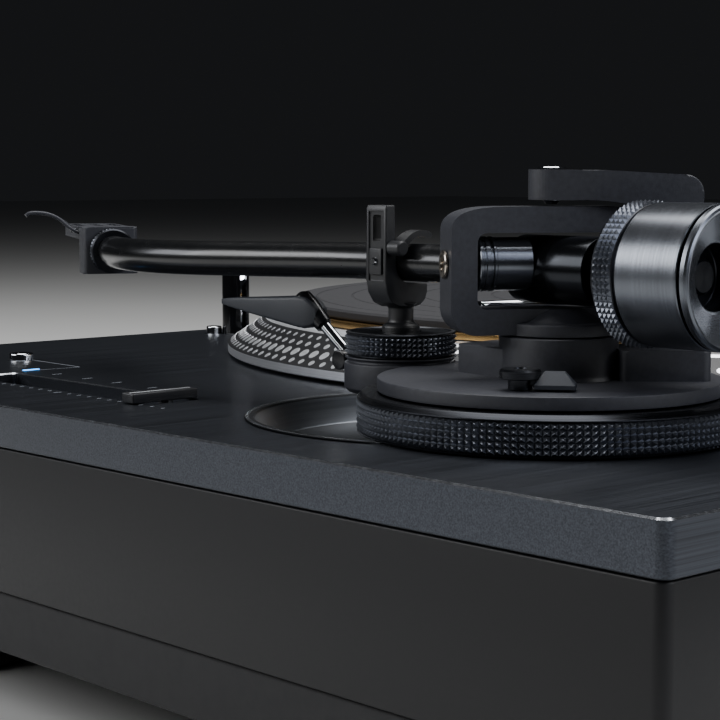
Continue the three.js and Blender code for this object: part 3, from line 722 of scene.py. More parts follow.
class CabinetParts:
    """Panel, cabinet, base layer and feet."""

    @staticmethod
    def panel(sizes):
        low, high = span("top_panel")
        width, depth = high.x - low.x, high.y - low.y
        cut = sizes.chamfer
        side = rounded(width, depth, sizes.corner, 8)
        top = rounded(width - 2 * cut, depth - 2 * cut, sizes.corner - cut, 8)
        bottom = rounded(width - 0.6, depth - 0.6, sizes.corner - 0.3, 8)
        bm = bmesh.new()
        stack(bm, [(bottom, low.z), (side, low.z + 0.3), (side, -cut), (top, 0.0)], [0, 0, 1])
        piece = finished(bm, "top_panel_brushed", [FINISH.panel, FINISH.edge], at(0, 0), "deck",
                         ["top_panel"], 20)
        fader = centre_of("speed_fader").xy
        strobe, lamp_at = centre_of("strobe_housing").xy, centre_of("target_light").xy
        release, start = centre_of("target_light_button").xy, centre_of("start_stop_button").xy
        reset, quartz = centre_of("reset_button").xy, centre_of("range_button").xy
        tools = [
            round_cutter(*PLATTER, 90, segments=96),
            round_cutter(*WELL, 50.3, flare=0.3, segments=128),
            round_cutter(*ARM, 37.6, segments=96),
            square_cutter(*fader, 16.2, 91.4, 1.2, flare=0.35),
            round_cutter(*lamp_at, 5.9, flare=0.35),
            round_cutter(*release, 3.3, flare=0.3),
            round_cutter(*strobe, 21.3, segments=96),
            square_cutter(*start, 30, 22, 1.8, flare=0.3),
            round_cutter(*reset, 4.3, flare=0.3),
            round_cutter(*quartz, 6.3, flare=0.3),
        ]
        for key in ("speed_button_33", "speed_button_45"):
            tools.append(square_cutter(*centre_of(key).xy, 19, 10, 1.3, flare=0.3))
        return carved(piece, *tools)

    @staticmethod
    def cabinet(sizes):
        low, high = span("cabinet")
        width, depth = high.x - low.x, high.y - low.y
        bm = bmesh.new()
        eased_block(bm, width, depth, sizes.corner, low.z, high.z, 0.6, steps=8)
        piece = finished(bm, "cabinet_casting", FINISH.casting, at(0, 0), "deck", ["cabinet"], 30)
        room = square_cutter(0, 0, width + 2 - 12, depth + 2 - 12, 3, low.z - 5, high.z + 5)
        tools = [room]
        level = centre_of("phono_jack_left").z
        flat = spun("X", math.pi / 2)
        for socket, radius in (("phono_jack_left", 6.5), ("phono_jack_right", 6.5), ("ground_terminal", 6.0)):
            drill = turned([(0, -20), (radius, -20), (radius, 20), (0, 20)], 40)
            bmesh.ops.transform(drill, matrix=flat, verts=drill.verts)
            bmesh.ops.translate(drill, vec=(centre_of(socket).x, depth / 2, level), verts=drill.verts)
            tools.append(drill)
        window = bmesh.new()
        box(window, (24, 40, 17), (centre_of("mains_inlet").x, depth / 2, level), 1.5, segments=3)
        tools.append(window)
        return carved(piece, *tools)

    @staticmethod
    def base(sizes):
        low, high = span("base_layer")
        bm = bmesh.new()
        eased_block(bm, high.x - low.x, high.y - low.y, sizes.corner, low.z, high.z, 1.2, steps=8)
        finished(bm, "base_layer_rubber", FINISH.rubber, at(0, 0), "deck", ["base_layer"], 40)

    @staticmethod
    def foot(number):
        name = f"foot_{number}"
        low, high = span(name)
        middle = centre_of(name)
        floor = low.z
        profile = [(0, 0), (23.5, 0), (25.5, 0.8), (27, 2.6), (27, 5)]
        for rib in range(5):
            z = 5.4 + rib * 2
            profile += [(26.2, z), (26.2, z + 0.7), (27, z + 1.1), (27, z + 1.7)]
        profile += [(26.4, 15.8), (21.6, 17.5), (21, 18), (21, high.z - floor), (0, high.z - floor)]
        bm = turned(eased(profile, 0.3, 2), 72)
        finished(bm, f"{name}_rubber", FINISH.rubber, at(middle.x, middle.y, floor), name,
                 [name], 35)


# ---- Platter ----------------------------------------------------------------------------------

RIM_FOOT = Vector((166.0, 3.9))
RIM_HEAD = Vector((152.5, 13.1))


def dot(bm, radius, along, angle, out, count=12):
    """One bright dot, standing 0.08 mm proud of the sloped rim."""
    slope = (RIM_HEAD - RIM_FOOT).normalized()
    normal = Vector((slope.y, -slope.x))
    if normal.x < 0:
        normal = -normal
    spot = RIM_FOOT.lerp(RIM_HEAD, along)
    radial = Vector((math.cos(angle), math.sin(angle), 0))
    tangent = Vector((-math.sin(angle), math.cos(angle), 0))
    uphill = radial * slope.x + Vector((0, 0, slope.y))
    proud = radial * normal.x + Vector((0, 0, normal.y))
    middle = radial * spot.x + Vector((0, 0, spot.y))
    foot, top = [], []
    for step in range(count):
        a = 2 * math.pi * step / count
        offset = tangent * math.cos(a) + uphill * math.sin(a)
        foot.append(bm.verts.new(middle + offset * radius - proud * 0.1))
        top.append(bm.verts.new(middle + offset * radius * 0.94 + proud * out))
    bm.faces.new(foot[::-1]).material_index = 2
    bm.faces.new(top).material_index = 2
    for i in range(count):
        j = (i + 1) % count
        bm.faces.new((foot[i], foot[j], top[j], top[i])).material_index = 2


class PlatterParts:
    @staticmethod
    def rim(sizes):
        bm = bmesh.new()
        under = eased([(86, 0.95), (165.4, 0.95), (166, 1.4), (166, 3.6), tuple(RIM_FOOT)], 0.15, 2)
        spin(bm, [(8.5, 1.5), (76, 1.5), (76, -1), (86, -1), *under], 256, material=0)
        spin(bm, [tuple(RIM_FOOT), tuple(RIM_FOOT.lerp(RIM_HEAD, 0.5)), tuple(RIM_FOOT.lerp(RIM_HEAD, 0.93))],
             256, material=1)
        spin(bm, [tuple(RIM_FOOT.lerp(RIM_HEAD, 0.93)), tuple(RIM_HEAD), (151.9, 13.35), (147, 13.4),
                  (8.5, 13.4), (8.5, 1.5)], 256, material=0)
        bmesh.ops.remove_doubles(bm, verts=bm.verts, dist=1e-3)
        rows = ((0.13, sizes.dot_small, sizes.dots_round), (0.36, sizes.dot_large, sizes.dots_round),
                (0.60, sizes.dot_small, sizes.dots_round), (0.80, sizes.dot_small * 0.8, sizes.dots_round))
        for row, (along, radius, count) in enumerate(rows):
            for step in range(count):
                dot(bm, radius, along, 2 * math.pi * (step + 0.37 * row) / count, 0.08)
        finished(bm, "platter_rim", [FINISH.rim, FINISH.strobe, FINISH.rim], at(*PLATTER), "platter",
                 ["platter"], 25)

    @staticmethod
    def plate():
        profile = eased([(8.5, 13.7), (146, 13.7), (146, 15.6), (8.5, 15.6), (8.5, 13.7)], 0.25, 3)
        finished(turned(profile, 256), "platter_brass_plate", FINISH.brass, at(*PLATTER), "platter",
                 ["platter_top_plate"], 30)

    @staticmethod
    def mat(sizes):
        top = 18.9
        profile = [(4.4, 15.9), (142.6, 15.9), (143.2, 16.5), (143.2, 18.2), (142.5, top), (139.8, top)]
        grooves = sizes.mat_grooves
        for ring in range(grooves):
            outer = 136.0 - ring * (84.0 / grooves)
            profile += [(outer, top), (outer - 0.15, 18.7), (outer - 0.65, 18.7), (outer - 0.8, top)]
        profile += [(51.0, top), (50.2, 17.9), (4.9, 17.9), (4.4, 17.5), (4.4, 15.9)]
        finished(turned(profile, 192), "rubber_mat_ribbed", FINISH.mat, at(*PLATTER), "platter",
                 ["rubber_mat"], 25)

    @staticmethod
    def spindle():
        low = span("spindle")[0].z
        profile = eased([(0, low), (3.9, low), (3.9, 0.5), (8.2, 0.5), (8.2, 15), (3.6, 15.4), (3.6, 26),
                         (3.2, 27.6), (2.3, 29.1), (1.1, 29.85), (0, 30)], 0.3, 3)
        finished(turned(profile, 64), "spindle_chromed", FINISH.chrome, at(*PLATTER), "platter",
                 ["spindle"], 30)


# ---- Controls ---------------------------------------------------------------------------------


def domed_button(name, radius, top, body, finish, dish=0.0, low=-9):
    """A round push button; dish hollows its top for a fingertip."""
    profile = [(0, low), (radius, low), (radius, top - 0.6)]
    profile += [(radius - 0.6 + 0.6 * math.cos(a), top - 0.6 + 0.6 * math.sin(a)) for a in (0.4, 0.8, 1.2,
                                                                                            1.57)]
    profile += [(radius - 1.0, top), (radius * 0.5, top - dish * 0.7), (0, top - dish)]
    place = centre_of(body)
    finished(turned(profile, 64), name, finish, at(place.x, place.y), body, [body], 35)


def key_cap(body, name, corner, ease, finish):
    """A rectangular sprung key with a slightly hollow top and round edges."""
    low, high = span(body)
    middle = centre_of(body)
    width, depth = high.x - low.x, high.y - low.y
    bm = bmesh.new()
    eased_block(bm, width, depth, corner, low.z, high.z, ease, steps=6)
    dish = [v for v in bm.verts if v.co.z > high.z - 1e-4]
    inner = bmesh.ops.inset_region(bm, faces=[f for f in bm.faces if all(v in dish for v in f.verts)],
                                   thickness=min(width, depth) * 0.16, depth=-0.25)
    if not inner["faces"]:
        raise RuntimeError(f"{body} has no top to hollow")
    finished(bm, name, finish, at(middle.x, middle.y), body, [body], 30)


class ControlParts:
    @staticmethod
    def fader():
        place = centre_of("speed_fader")
        low, high = span("speed_fader")
        top = high.z
        bm = bmesh.new()
        width, depth = high.x - low.x, high.y - low.y
        eased_block(bm, width, depth, 0.8, low.z, top, 0.2)
        piece = finished(bm, "speed_fader_track", FINISH.plastic, at(place.x, place.y), "deck",
                         ["speed_fader"], 30)
        slit = bmesh.new()
        box(slit, (2.6, depth - 7.4, 30), (0, 0, top - 2), 0)
        carved(piece, slit)

    @staticmethod
    def knob():
        low, high = span("speed_fader_knob")
        place = centre_of("speed_fader_knob")
        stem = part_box("speed_fader")[0]
        bm = bmesh.new()
        width, depth, top = high.x - low.x, high.y - low.y, high.z
        eased_block(bm, width, depth, 0.7, 0.3, top, 0.35, steps=5)
        saddle = [v for v in bm.verts if v.co.z > top - 0.02]
        for vert in saddle:
            vert.co.z -= 0.35 * (1 - min(abs(vert.co.y) / (depth / 2), 1)) ** 2
        box(bm, (1.6, 4.6, -low.z + 0.6), (-1.8, 0, (low.z + 0.6) / 2), 0.2)
        box(bm, (width - 1.6, 0.5, 0.12), (0, 0, top + 0.0), 0.04, material=1)
        if stem.x / MM > place.x:
            raise RuntimeError("the knob has left its slot")
        finished(bm, "speed_fader_cap", [FINISH.plastic, FINISH.white_ink], at(place.x, place.y),
                 "fader_knob",
                 ["speed_fader_knob"], 30)

    @staticmethod
    def buttons():
        domed_button("reset_button_chromed", 3.9, 2.3, "reset_button", FINISH.chrome, 0.25)
        domed_button("range_button_black", 5.9, 2.6, "range_button", FINISH.gloss, 0.35)
        domed_button("target_light_button_chromed", 2.9, 2.8, "target_light_button", FINISH.chrome,
                     0.1)
        key_cap("start_stop_button", "start_stop_key", 1.5, 0.5, FINISH.steel)
        key_cap("speed_button_33", "speed_key_33", 1.0, 0.4, FINISH.steel)
        key_cap("speed_button_45", "speed_key_45", 1.0, 0.4, FINISH.steel)

    @staticmethod
    def target_light():
        place = centre_of("target_light")
        low, high = span("target_light")
        turn = spun("Z", math.radians(88))
        profile = eased([(0, low.z), (5.1, low.z), (5.1, high.z), (4.0, high.z), (3.6, high.z - 0.5),
                         (0, high.z - 0.5)], 0.35, 3)
        piece = finished(turned(profile, 64), "target_light_stem", FINISH.gloss,
                         at(place.x, place.y, 0, turn),
                         "target_light", ["target_light"], 30)
        mouth = bmesh.new()
        box(mouth, (4.6, 2.8, 21.4), (5.3, 0, 12.4), 0.5)
        carved(piece, mouth)
        strip = bmesh.new()
        box(strip, (0.5, 1.9, 18.6), (3.3, 0, 11.4), 0.15)
        finished(strip, "target_light_strip", FINISH.chrome, at(place.x, place.y, 0, turn),
                 "target_light")
        bulb = bmesh.new()
        stud(bulb, [(0, -1.0), (1.1, -1.0), (1.1, 0.2), (0.8, 0.7), (0, 0.9)],
             Matrix.Translation((3.9, 0, 21.6)) @ spun("Y", math.pi / 2))
        finished(bulb, "target_light_diode", FINISH.white_lamp, at(place.x, place.y, 0, turn), "target_light")

    @staticmethod
    def strobe_tower():
        place = centre_of("strobe_housing")
        profile = eased([(0, -11.2), (21, -11.2), (21, 13.4), (19.4, 15), (15.6, 15), (15, 14.4), (15, 6),
                         (0, 6)], 0.35, 3)
        turn = spun("Z", math.radians(40))
        piece = finished(turned(profile, 96), "strobe_tower", FINISH.plastic, at(place.x, place.y, 0, turn),
                         "deck", ["strobe_housing"], 30)
        window = bmesh.new()
        box(window, (8, 12, 5.6), (20.5, 0, 8), 0.8)
        carved(piece, window)
        glow = bmesh.new()
        box(glow, (0.8, 10, 4), (16.8, 0, 8), 0.2)
        finished(glow, "strobe_lamp_window", FINISH.blue_lamp, at(place.x, place.y, 0, turn), "deck")
        dial = bmesh.new()
        spin(dial, eased([(0, 6.3), (14.2, 6.3), (14.2, 14.6)], 0.2, 2), 96)
        spin(dial, [(14.2, 14.6), (14.5, 14.9), (14.5, 17.3), (13.6, 18.2), (12.4, 18.5), (0, 18.5)], 96)
        for step in range(60):
            angle = 2 * math.pi * step / 60
            box(dial, (0.5, 0.7, 6.6), (14.2, 0, 11.0), 0.12, spun("Z", angle), segments=1)
        box(dial, (5, 0.7, 0.16), (10, 0, 18.5), 0.05, material=1)
        finished(dial, "power_dial_ribbed", [FINISH.turned, FINISH.white_ink], at(place.x, place.y),
                 "power_dial",
                 ["power_dial"], 30)

    @staticmethod
    def marks():
        """Scale marks and guide lines in flat ink, with no lettering."""
        bm = bmesh.new()
        thin = 0.06
        for y in (-87, -71, -56, -38.5):
            box(bm, (3.2, 0.45, thin), (173.5, y, thin / 2), 0)
        for step in range(21):
            y = -95 + step * 4.8
            long = step == 10
            box(bm, (2.6 if long else 1.3, 0.3, thin), (199.0 + (0.65 if long else 0), y, thin / 2), 0)
        guide = ((155.4, -133.4), (156.5, -100), (170.6, -100.9))
        for (x0, y0), (x1, y1) in zip(guide, guide[1:]):
            run = Vector((x1 - x0, y1 - y0))
            place = Matrix.Translation(((x0 + x1) / 2, (y0 + y1) / 2, thin / 2))
            box(bm, (run.length, 0.3, thin), (0, 0, 0), 0, place @ spun("Z", math.atan2(run.y, run.x)))
        finished(bm, "panel_scale_marks", FINISH.grey_ink, at(0, 0), "deck")
        bar = bmesh.new()
        box(bar, (5.6, 0.9, 0.24), (172.5, -103, 0.06), 0.06)
        finished(bar, "fader_pilot_lamp", FINISH.blue_lamp, at(0, 0), "deck")


# ---- Arm well, height ring and arm base ---------------------------------------------------------


def frame_of_arm(x=0.0, y=0.0, z=0.0, turn=None):
    return at(ARM.x + x, ARM.y + y, z, turn)


class ArmBaseParts:
    @staticmethod
    def well():
        floor = -6.5
        lift = WELL.x, WELL.y
        outer = 51.9
        bm = bmesh.new()
        wall = eased([(36, floor - 2), (49.6, floor - 2), (49.6, 0.3), (outer, 0.3)], 0.2, 2)
        spin(bm, [*wall, (outer, 0.4), (outer - 0.2, 0.6)], 192, material=0)
        spin(bm, [(outer - 0.2, 0.6), (outer - 1.1, 0.6)], 192, material=1)
        spin(bm, [(outer - 1.1, 0.6), (49.7, 0.55), (49.3, 0.1)], 192, material=0)
        spin(bm, [(49.3, 0.1), (48.9, -0.5), (45.4, floor + 0.5), (44.8, floor)], 192, material=2)
        spin(bm, [(44.8, floor), (36, floor), (20, floor), (0, floor)], 192, material=0)
        spin(bm, [(0, floor - 2), (36, floor - 2)], 192, material=0)
        piece = finished(bm, "arm_well_dished", [FINISH.well, FINISH.edge, FINISH.slope], at(*lift),
                         "deck",
                         ["arm_well"], 32)
        shift = (ARM.x - WELL.x, ARM.y - WELL.y)
        relief = bmesh.new()
        spin(relief, [(0, 0), (46.0, 0), (46.0, 6), (0, 6)], 128)
        bmesh.ops.translate(relief, vec=(*shift, 0), verts=relief.verts)
        return carved(piece, round_cutter(*shift, 35.9, -20, 20, segments=96), relief)

    @staticmethod
    def collar():
        profile = eased([(30.5, -30), (35.6, -30), (35.6, 7), (30.5, 7), (30.5, -30)], 0.3, 2)
        finished(turned(profile, 96), "arm_mounting_collar_cast", FINISH.casting, frame_of_arm(), "deck",
                 ["arm_mounting_collar"], 30)

    @staticmethod
    def ring(sizes):
        """Height ring: five rows of knurled points, then a smooth shoulder."""
        depth = sizes.knurl_depth
        root = 45.4 - depth
        bm = bmesh.new()
        pyramids(bm, root, 0.9, 8.0, sizes.ring_points, 5, depth, material=1)
        around = sizes.ring_points
        shoulder = [(root, 8.0), (45.25, 8.3), (45.2, 8.5), (44.4, 9.25), (43.9, 9.6), (36.2, 9.6),
                    (35.9, 9.3)]
        spin(bm, [*shoulder, (35.9, 0.8), (36.2, 0.5), (45.1, 0.5), (45.2, 0.7), (root, 0.9)], around)
        finished(bm, "arm_height_ring_knurled", [FINISH.turned, FINISH.knurl], frame_of_arm(), "height_ring",
                 ["arm_height_ring"], 22)

    @staticmethod
    def base():
        """The carriage under the arm: plate, stem, pillar, side wall, dial housing and post block."""
        bm = bmesh.new()
        spin(bm, eased([(0, 9.9), (40.5, 9.9), (40.5, 13.1), (0, 13.1)], 0.45, 3), 160)
        spin(bm, [(0, -26), (29.6, -26), (30.1, -25.5), (30.1, 10.2), (0, 10.2)], 96)
        pillar = eased([(0, 12.4), (14.5, 13.0), (14.1, 13.7), (14, 14.4), (14, 22.9), (0, 22.9)], 0.4, 3)
        stud(bm, pillar, Matrix.Translation((-1.5, 1.4, 0)), 96)
        wall = [(-12, -22.4), (7.6, -22.4), (8.3, -21.8), (12.3, 3.0), (11.8, 3.7), (-12, 3.7)]
        prism(bm, wall, 11, 20, bevel=0.5, segments=3)
        housing = eased([(0, 5.4), (13.2, 5.4), (14.4, 6.6), (14.4, 12.9), (13.6, 13.2), (13.6, 13.8),
                         (14.2, 14.1), (14.2, 14.5), (0, 14.5)], 0.25, 2)
        stud(bm, housing, Matrix.Translation((DIAL.x - ARM.x, DIAL.y - ARM.y, 0)), 96)
        block = rounded(21, 17, 2.0, 6, (25.5, -2.5))
        prism(bm, block, 11, 20.2, spun("Z", YOKE_ANGLE), bevel=0.6, segments=3)
        guide = eased([(0, 11), (4.6, 13.0), (3.4, 14), (3.4, 20.2), (1.9, 20.2), (1.9, 18), (0, 18)], 0.2, 2)
        lifter = centre_of("arm_lifter")
        angle = math.radians(-124)
        spot = Vector((25.5 * math.cos(angle), 25.5 * math.sin(angle), 0))
        if (lifter.xy - ARM - spot.xy).length > 12:
            raise RuntimeError("the lifter has left its guide")
        stud(bm, guide, Matrix.Translation(spot), 48)
        finished(bm, "arm_carriage", FINISH.paint, frame_of_arm(), "arm_base",
                 ["arm_base"], 30)

    @staticmethod
    def bridge():
        """Bracket over the gimbal, with the vertical bearing's screw at its nose."""
        side = [(-5.4, 61.4), (-5.4, 54.4), (12, 54.2), (26.4, 52.8), (27.4, 52.3), (28, 51.2), (28, 20.5),
                (34.4, 20.5), (34.4, 56.0)]
        side += arc(4.2, 0, 90, 8, (30.2, 56.0))[1:]
        side += [(12, 61.2)]
        bm = bmesh.new()
        upright = spun("X", math.pi / 2)
        prism(bm, side[::-1], -6, 6, spun("Z", YOKE_ANGLE) @ upright, bevel=0.55, segments=3)
        piece = finished(bm, "arm_bridge_machined", FINISH.paint, frame_of_arm(), "arm_base",
                         ["arm_bridge"], 30)
        outside = bmesh.new()
        nose = arc(5.4, 90, 270, 24) + [(12, -6.2), (60, -6.2), (60, -20), (-20, -20), (-20, 20), (60, 20),
                                       (60, 6.2), (12, 6.2)]
        prism(outside, nose, 45, 75, spun("Z", YOKE_ANGLE))
        return carved(piece, outside, round_cutter(0, 0, 2.2, 40, 80, segments=40))

    @staticmethod
    def top_screw():
        bm = bmesh.new()
        spin(bm, [(0, 53.4), (1.2, 53.4), (1.9, 54.2), (1.9, 61.5), (3.4, 61.5), (3.4, 61.8), (3.1, 62.0),
                  (1.3, 62.0), (1.2, 61.6), (0, 61.6)], 48)
        finished(bm, "top_bearing_screw_slotted", FINISH.chrome, frame_of_arm(), "arm_base",
                 ["top_bearing_screw"], 30)

    @staticmethod
    def lock_lever():
        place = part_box("height_lock_lever")
        centre = (25.9, 14.4)
        if abs((place[0].x + place[1].x) / 2 / MM - ARM.x - centre[0]) > 9:
            raise RuntimeError("the lock lever has moved")
        bm = bmesh.new()
        boss = [(0, 13.4), (2.7, 13.4), (2.7, 15.6), (4.4, 15.7), (4.6, 15.9), (4.6, 17.4), (4.2, 17.9),
                (1.6, 18.0), (1.4, 17.6), (0, 17.6)]
        spin(bm, boss, 64, material=1)
        turn = spun("Z", math.radians(128))
        box(bm, (4.5, 3.0, 1.6), (4.4, 0, 15.0), 0.3, turn)
        low = rounded(9.2, 6.0, 0.4, 3, (7.6, 0))
        shoulder = rounded(8.8, 5.6, 0.4, 3, (7.6, 0))
        ridge = rounded(4.6, 1.9, 0.4, 3, (7.6, 0))
        loops = [(low, 13.7), (low, 14.6), (shoulder, 14.9), (ridge, 17.4)]
        rings = stack(bm, loops, [0, 0, 0])
        bmesh.ops.transform(bm, matrix=turn, verts=[v for ring in rings for v in ring])
        finished(bm, "height_lock_lever_winged", [FINISH.handle, FINISH.turned], frame_of_arm(*centre),
                 "height_lock",
                 ["height_lock_lever"], 30)


# ---- Anti-skating dial and arm rest --------------------------------------------------------------


def rest_frame():
    return at(DIAL.x, DIAL.y)


class RestParts:
    @staticmethod
    def dial(sizes):
        low, high = span("anti_skate_dial")
        depth = sizes.knurl_depth * 0.95
        root = 14.3 - depth
        bm = bmesh.new()
        top = high.z
        pyramids(bm, root, low.z + 0.3, top - 0.7, sizes.dial_points, 4, depth, material=1)
        around = sizes.dial_points
        spin(bm, [(root, top - 0.7), (14.0, top - 0.55), (14.0, top - 0.3), (13.8, top - 0.08)], around)
        spin(bm, [(13.8, top - 0.08), (13.4, top), (12.9, top)], around, material=2)
        spin(bm, [(12.9, top), (12.5, top - 0.25), (5.4, top - 0.1), (5.2, top - 0.3), (5.2, low.z + 0.2),
                  (5.4, low.z), (13.6, low.z), (root, low.z + 0.3)], around)
        finished(bm, "anti_skate_dial_knurled", [FINISH.turned, FINISH.knurl, FINISH.edge], rest_frame(),
                 "anti_skate_dial", ["anti_skate_dial"], 22)

    @staticmethod
    def rest():
        """Post and cradle; the tall plate beside the tube has a slot and a raised frame."""
        low = span("arm_rest")[0].z
        bm = bmesh.new()
        spin(bm, eased([(0, low), (4.8, low), (4.8, 21.9), (4.2, 22.6), (3.4, 22.9), (3.2, 23.6), (3.2, 26.6),
                        (4.4, 28.0), (0, 28.4)], 0.25, 2), 64)
        axis = TUBE_HEIGHT
        cup = [(8.7, 34.0), (8.7, 51.8), (8.3, 52.6), (5.7, 52.6), (5.3, 52.2), (5.3, axis)]
        cup += arc(5.3, 0, -90, 16, (0, axis))[1:]
        cup += [(-5.6, axis - 5.3), (-6.0, axis - 5.8), (-6.0, 30.6), (-5.2, 28.6), (-3.6, 27.3),
                (-1.5, 27.0),
                (3.6, 27.0), (6.4, 28.2), (8.2, 30.8)]
        upright = spun("X", math.pi / 2)
        prism(bm, cup[::-1], -3.6, 3.6, upright, bevel=0.5, segments=3)
        piece = finished(bm, "arm_rest_cradle", FINISH.plastic, rest_frame(), "arm_base",
                         ["arm_rest"],
                         30)
        window = bmesh.new()
        box(window, (10, 3, 6.6), (7, 0, 46.9), 0.6)
        recess = bmesh.new()
        box(recess, (0.8, 5.4, 17.4), (8.7, 0, 42.4), 0.2)
        carved(piece, recess, window)
        block = bmesh.new()
        box(block, (1.2, 4.4, 6.6), (8.5, 0, 38.6), 0.35)
        stud(block, [(0, 0), (1.0, 0), (1.0, 0.5), (0.7, 0.8), (0, 0.8)],
             Matrix.Translation((9.0, 0, 38.6)) @ spun("Y", math.pi / 2), 24, material=1)
        finished(block, "arm_rest_latch_block", [FINISH.plastic, FINISH.chrome], rest_frame(), "arm_base")

    @staticmethod
    def latch():
        axis = TUBE_HEIGHT
        hook = arc(8.2, 24, 112, 20, (0, axis)) + arc(0.78, 112, 292, 6, (
            7.42 * math.cos(math.radians(112)), axis + 7.42 * math.sin(math.radians(112))))
        hook += arc(6.65, 112, 24, 20, (0, axis))
        bm = bmesh.new()
        prism(bm, hook, -7.6, -4.0, spun("X", math.pi / 2), bevel=0.3)
        stud(bm, [(0, 4.1), (1.9, 4.1), (1.9, 7.8), (1.5, 8.2), (0, 8.2)],
             Matrix.Translation((7, 0, 42)) @ spun("X", -math.pi / 2), 32)
        finished(bm, "arm_rest_latch_hook", FINISH.plastic, rest_frame(), "rest_latch",
                 ["arm_rest_latch"], 30)


# ---- Cueing -------------------------------------------------------------------------------------


class CueParts:
    @staticmethod
    def lever():
        pivot, knee, tip = Vector((1.2, -67.4, 12.4)), Vector((3.4, -82.3, 25.6)), Vector((8, -112, 25.6))
        bm = bmesh.new()
        barrel = eased([(0, -5), (2.6, -5), (2.6, 5), (0, 5)], 0.4, 3)
        stud(bm, barrel, Matrix.Translation(pivot) @ spun("Y", math.pi / 2), 40, material=1)
        run = knee - pivot
        rod = [pivot, pivot + run * 0.5, pivot + run * 0.93]
        sweep(bm, rod, [ring_section(1.5, 20)] * 3, material=2)
        ferrule = [pivot + run * 0.60, pivot + run * 0.63, pivot + run * 0.94, knee + run * 0.14,
                   knee + run * 0.2]
        sweep(bm, ferrule, [ring_section(r, 24) for r in (1.6, 2.3, 2.9, 2.7, 1.5)], material=1)
        ahead = (tip - knee).normalized()
        stations = ((-4.4, 2.4, -4.2, -0.4), (-3.0, 2.9, -5.4, 0.9), (-0.6, 3.2, -5.9, 2.4),
                    (2.0, 3.3, -5.6, 2.6),
                    (8.0, 3.2, -4.6, 2.2), (18.0, 2.9, -2.9, 1.6), (26.5, 2.5, -1.3, 1.1),
                    (29.8, 1.6, -0.7, 0.7))
        path, sections = [], []
        for out, half, under, over in stations:
            path.append(knee + ahead * out)
            mid, tall = (under + over) / 2, (over - under) / 2
            sections.append([(x, y + mid) for x, y in rounded(2 * half, 2 * tall, min(half, tall) * 0.3, 3)])
        sweep(bm, path, sections, material=0)
        finished(bm, "cue_lever_handle", [FINISH.handle, FINISH.dark_knob, FINISH.chrome], frame_of_arm(),
                 "cue_lever", ["cue_lever"], 35)

    @staticmethod
    def lifter():
        radius = 25.5
        angles = [-94 - 56 * s / 28 for s in range(29)]
        path = [(radius * math.cos(math.radians(a)), radius * math.sin(math.radians(a)),
                 28.2) for a in angles]
        bm = bmesh.new()
        sweep(bm, path, [ring_section(1.2 if 0 < i < 28 else 1.0, 16) for i in range(29)])
        angle = math.radians(-124)
        stud(bm, [(0, 15), (1.7, 15), (1.7, 26.6), (1.3, 27.2), (1.3, 28), (0, 28)],
             Matrix.Translation((radius * math.cos(angle), radius * math.sin(angle), 0)), 32)
        cap = [(0, -1.35), (1.35, -0.9), (1.5, 0), (1.35, 0.9), (0, 1.35)]
        stud(bm, cap, Matrix.Translation(path[0]), 24)
        finished(bm, "arm_lifter_rail", FINISH.chrome, frame_of_arm(), "arm_lifter",
                 ["arm_lifter"], 35)


# ---- Gimbal and tonearm --------------------------------------------------------------------------


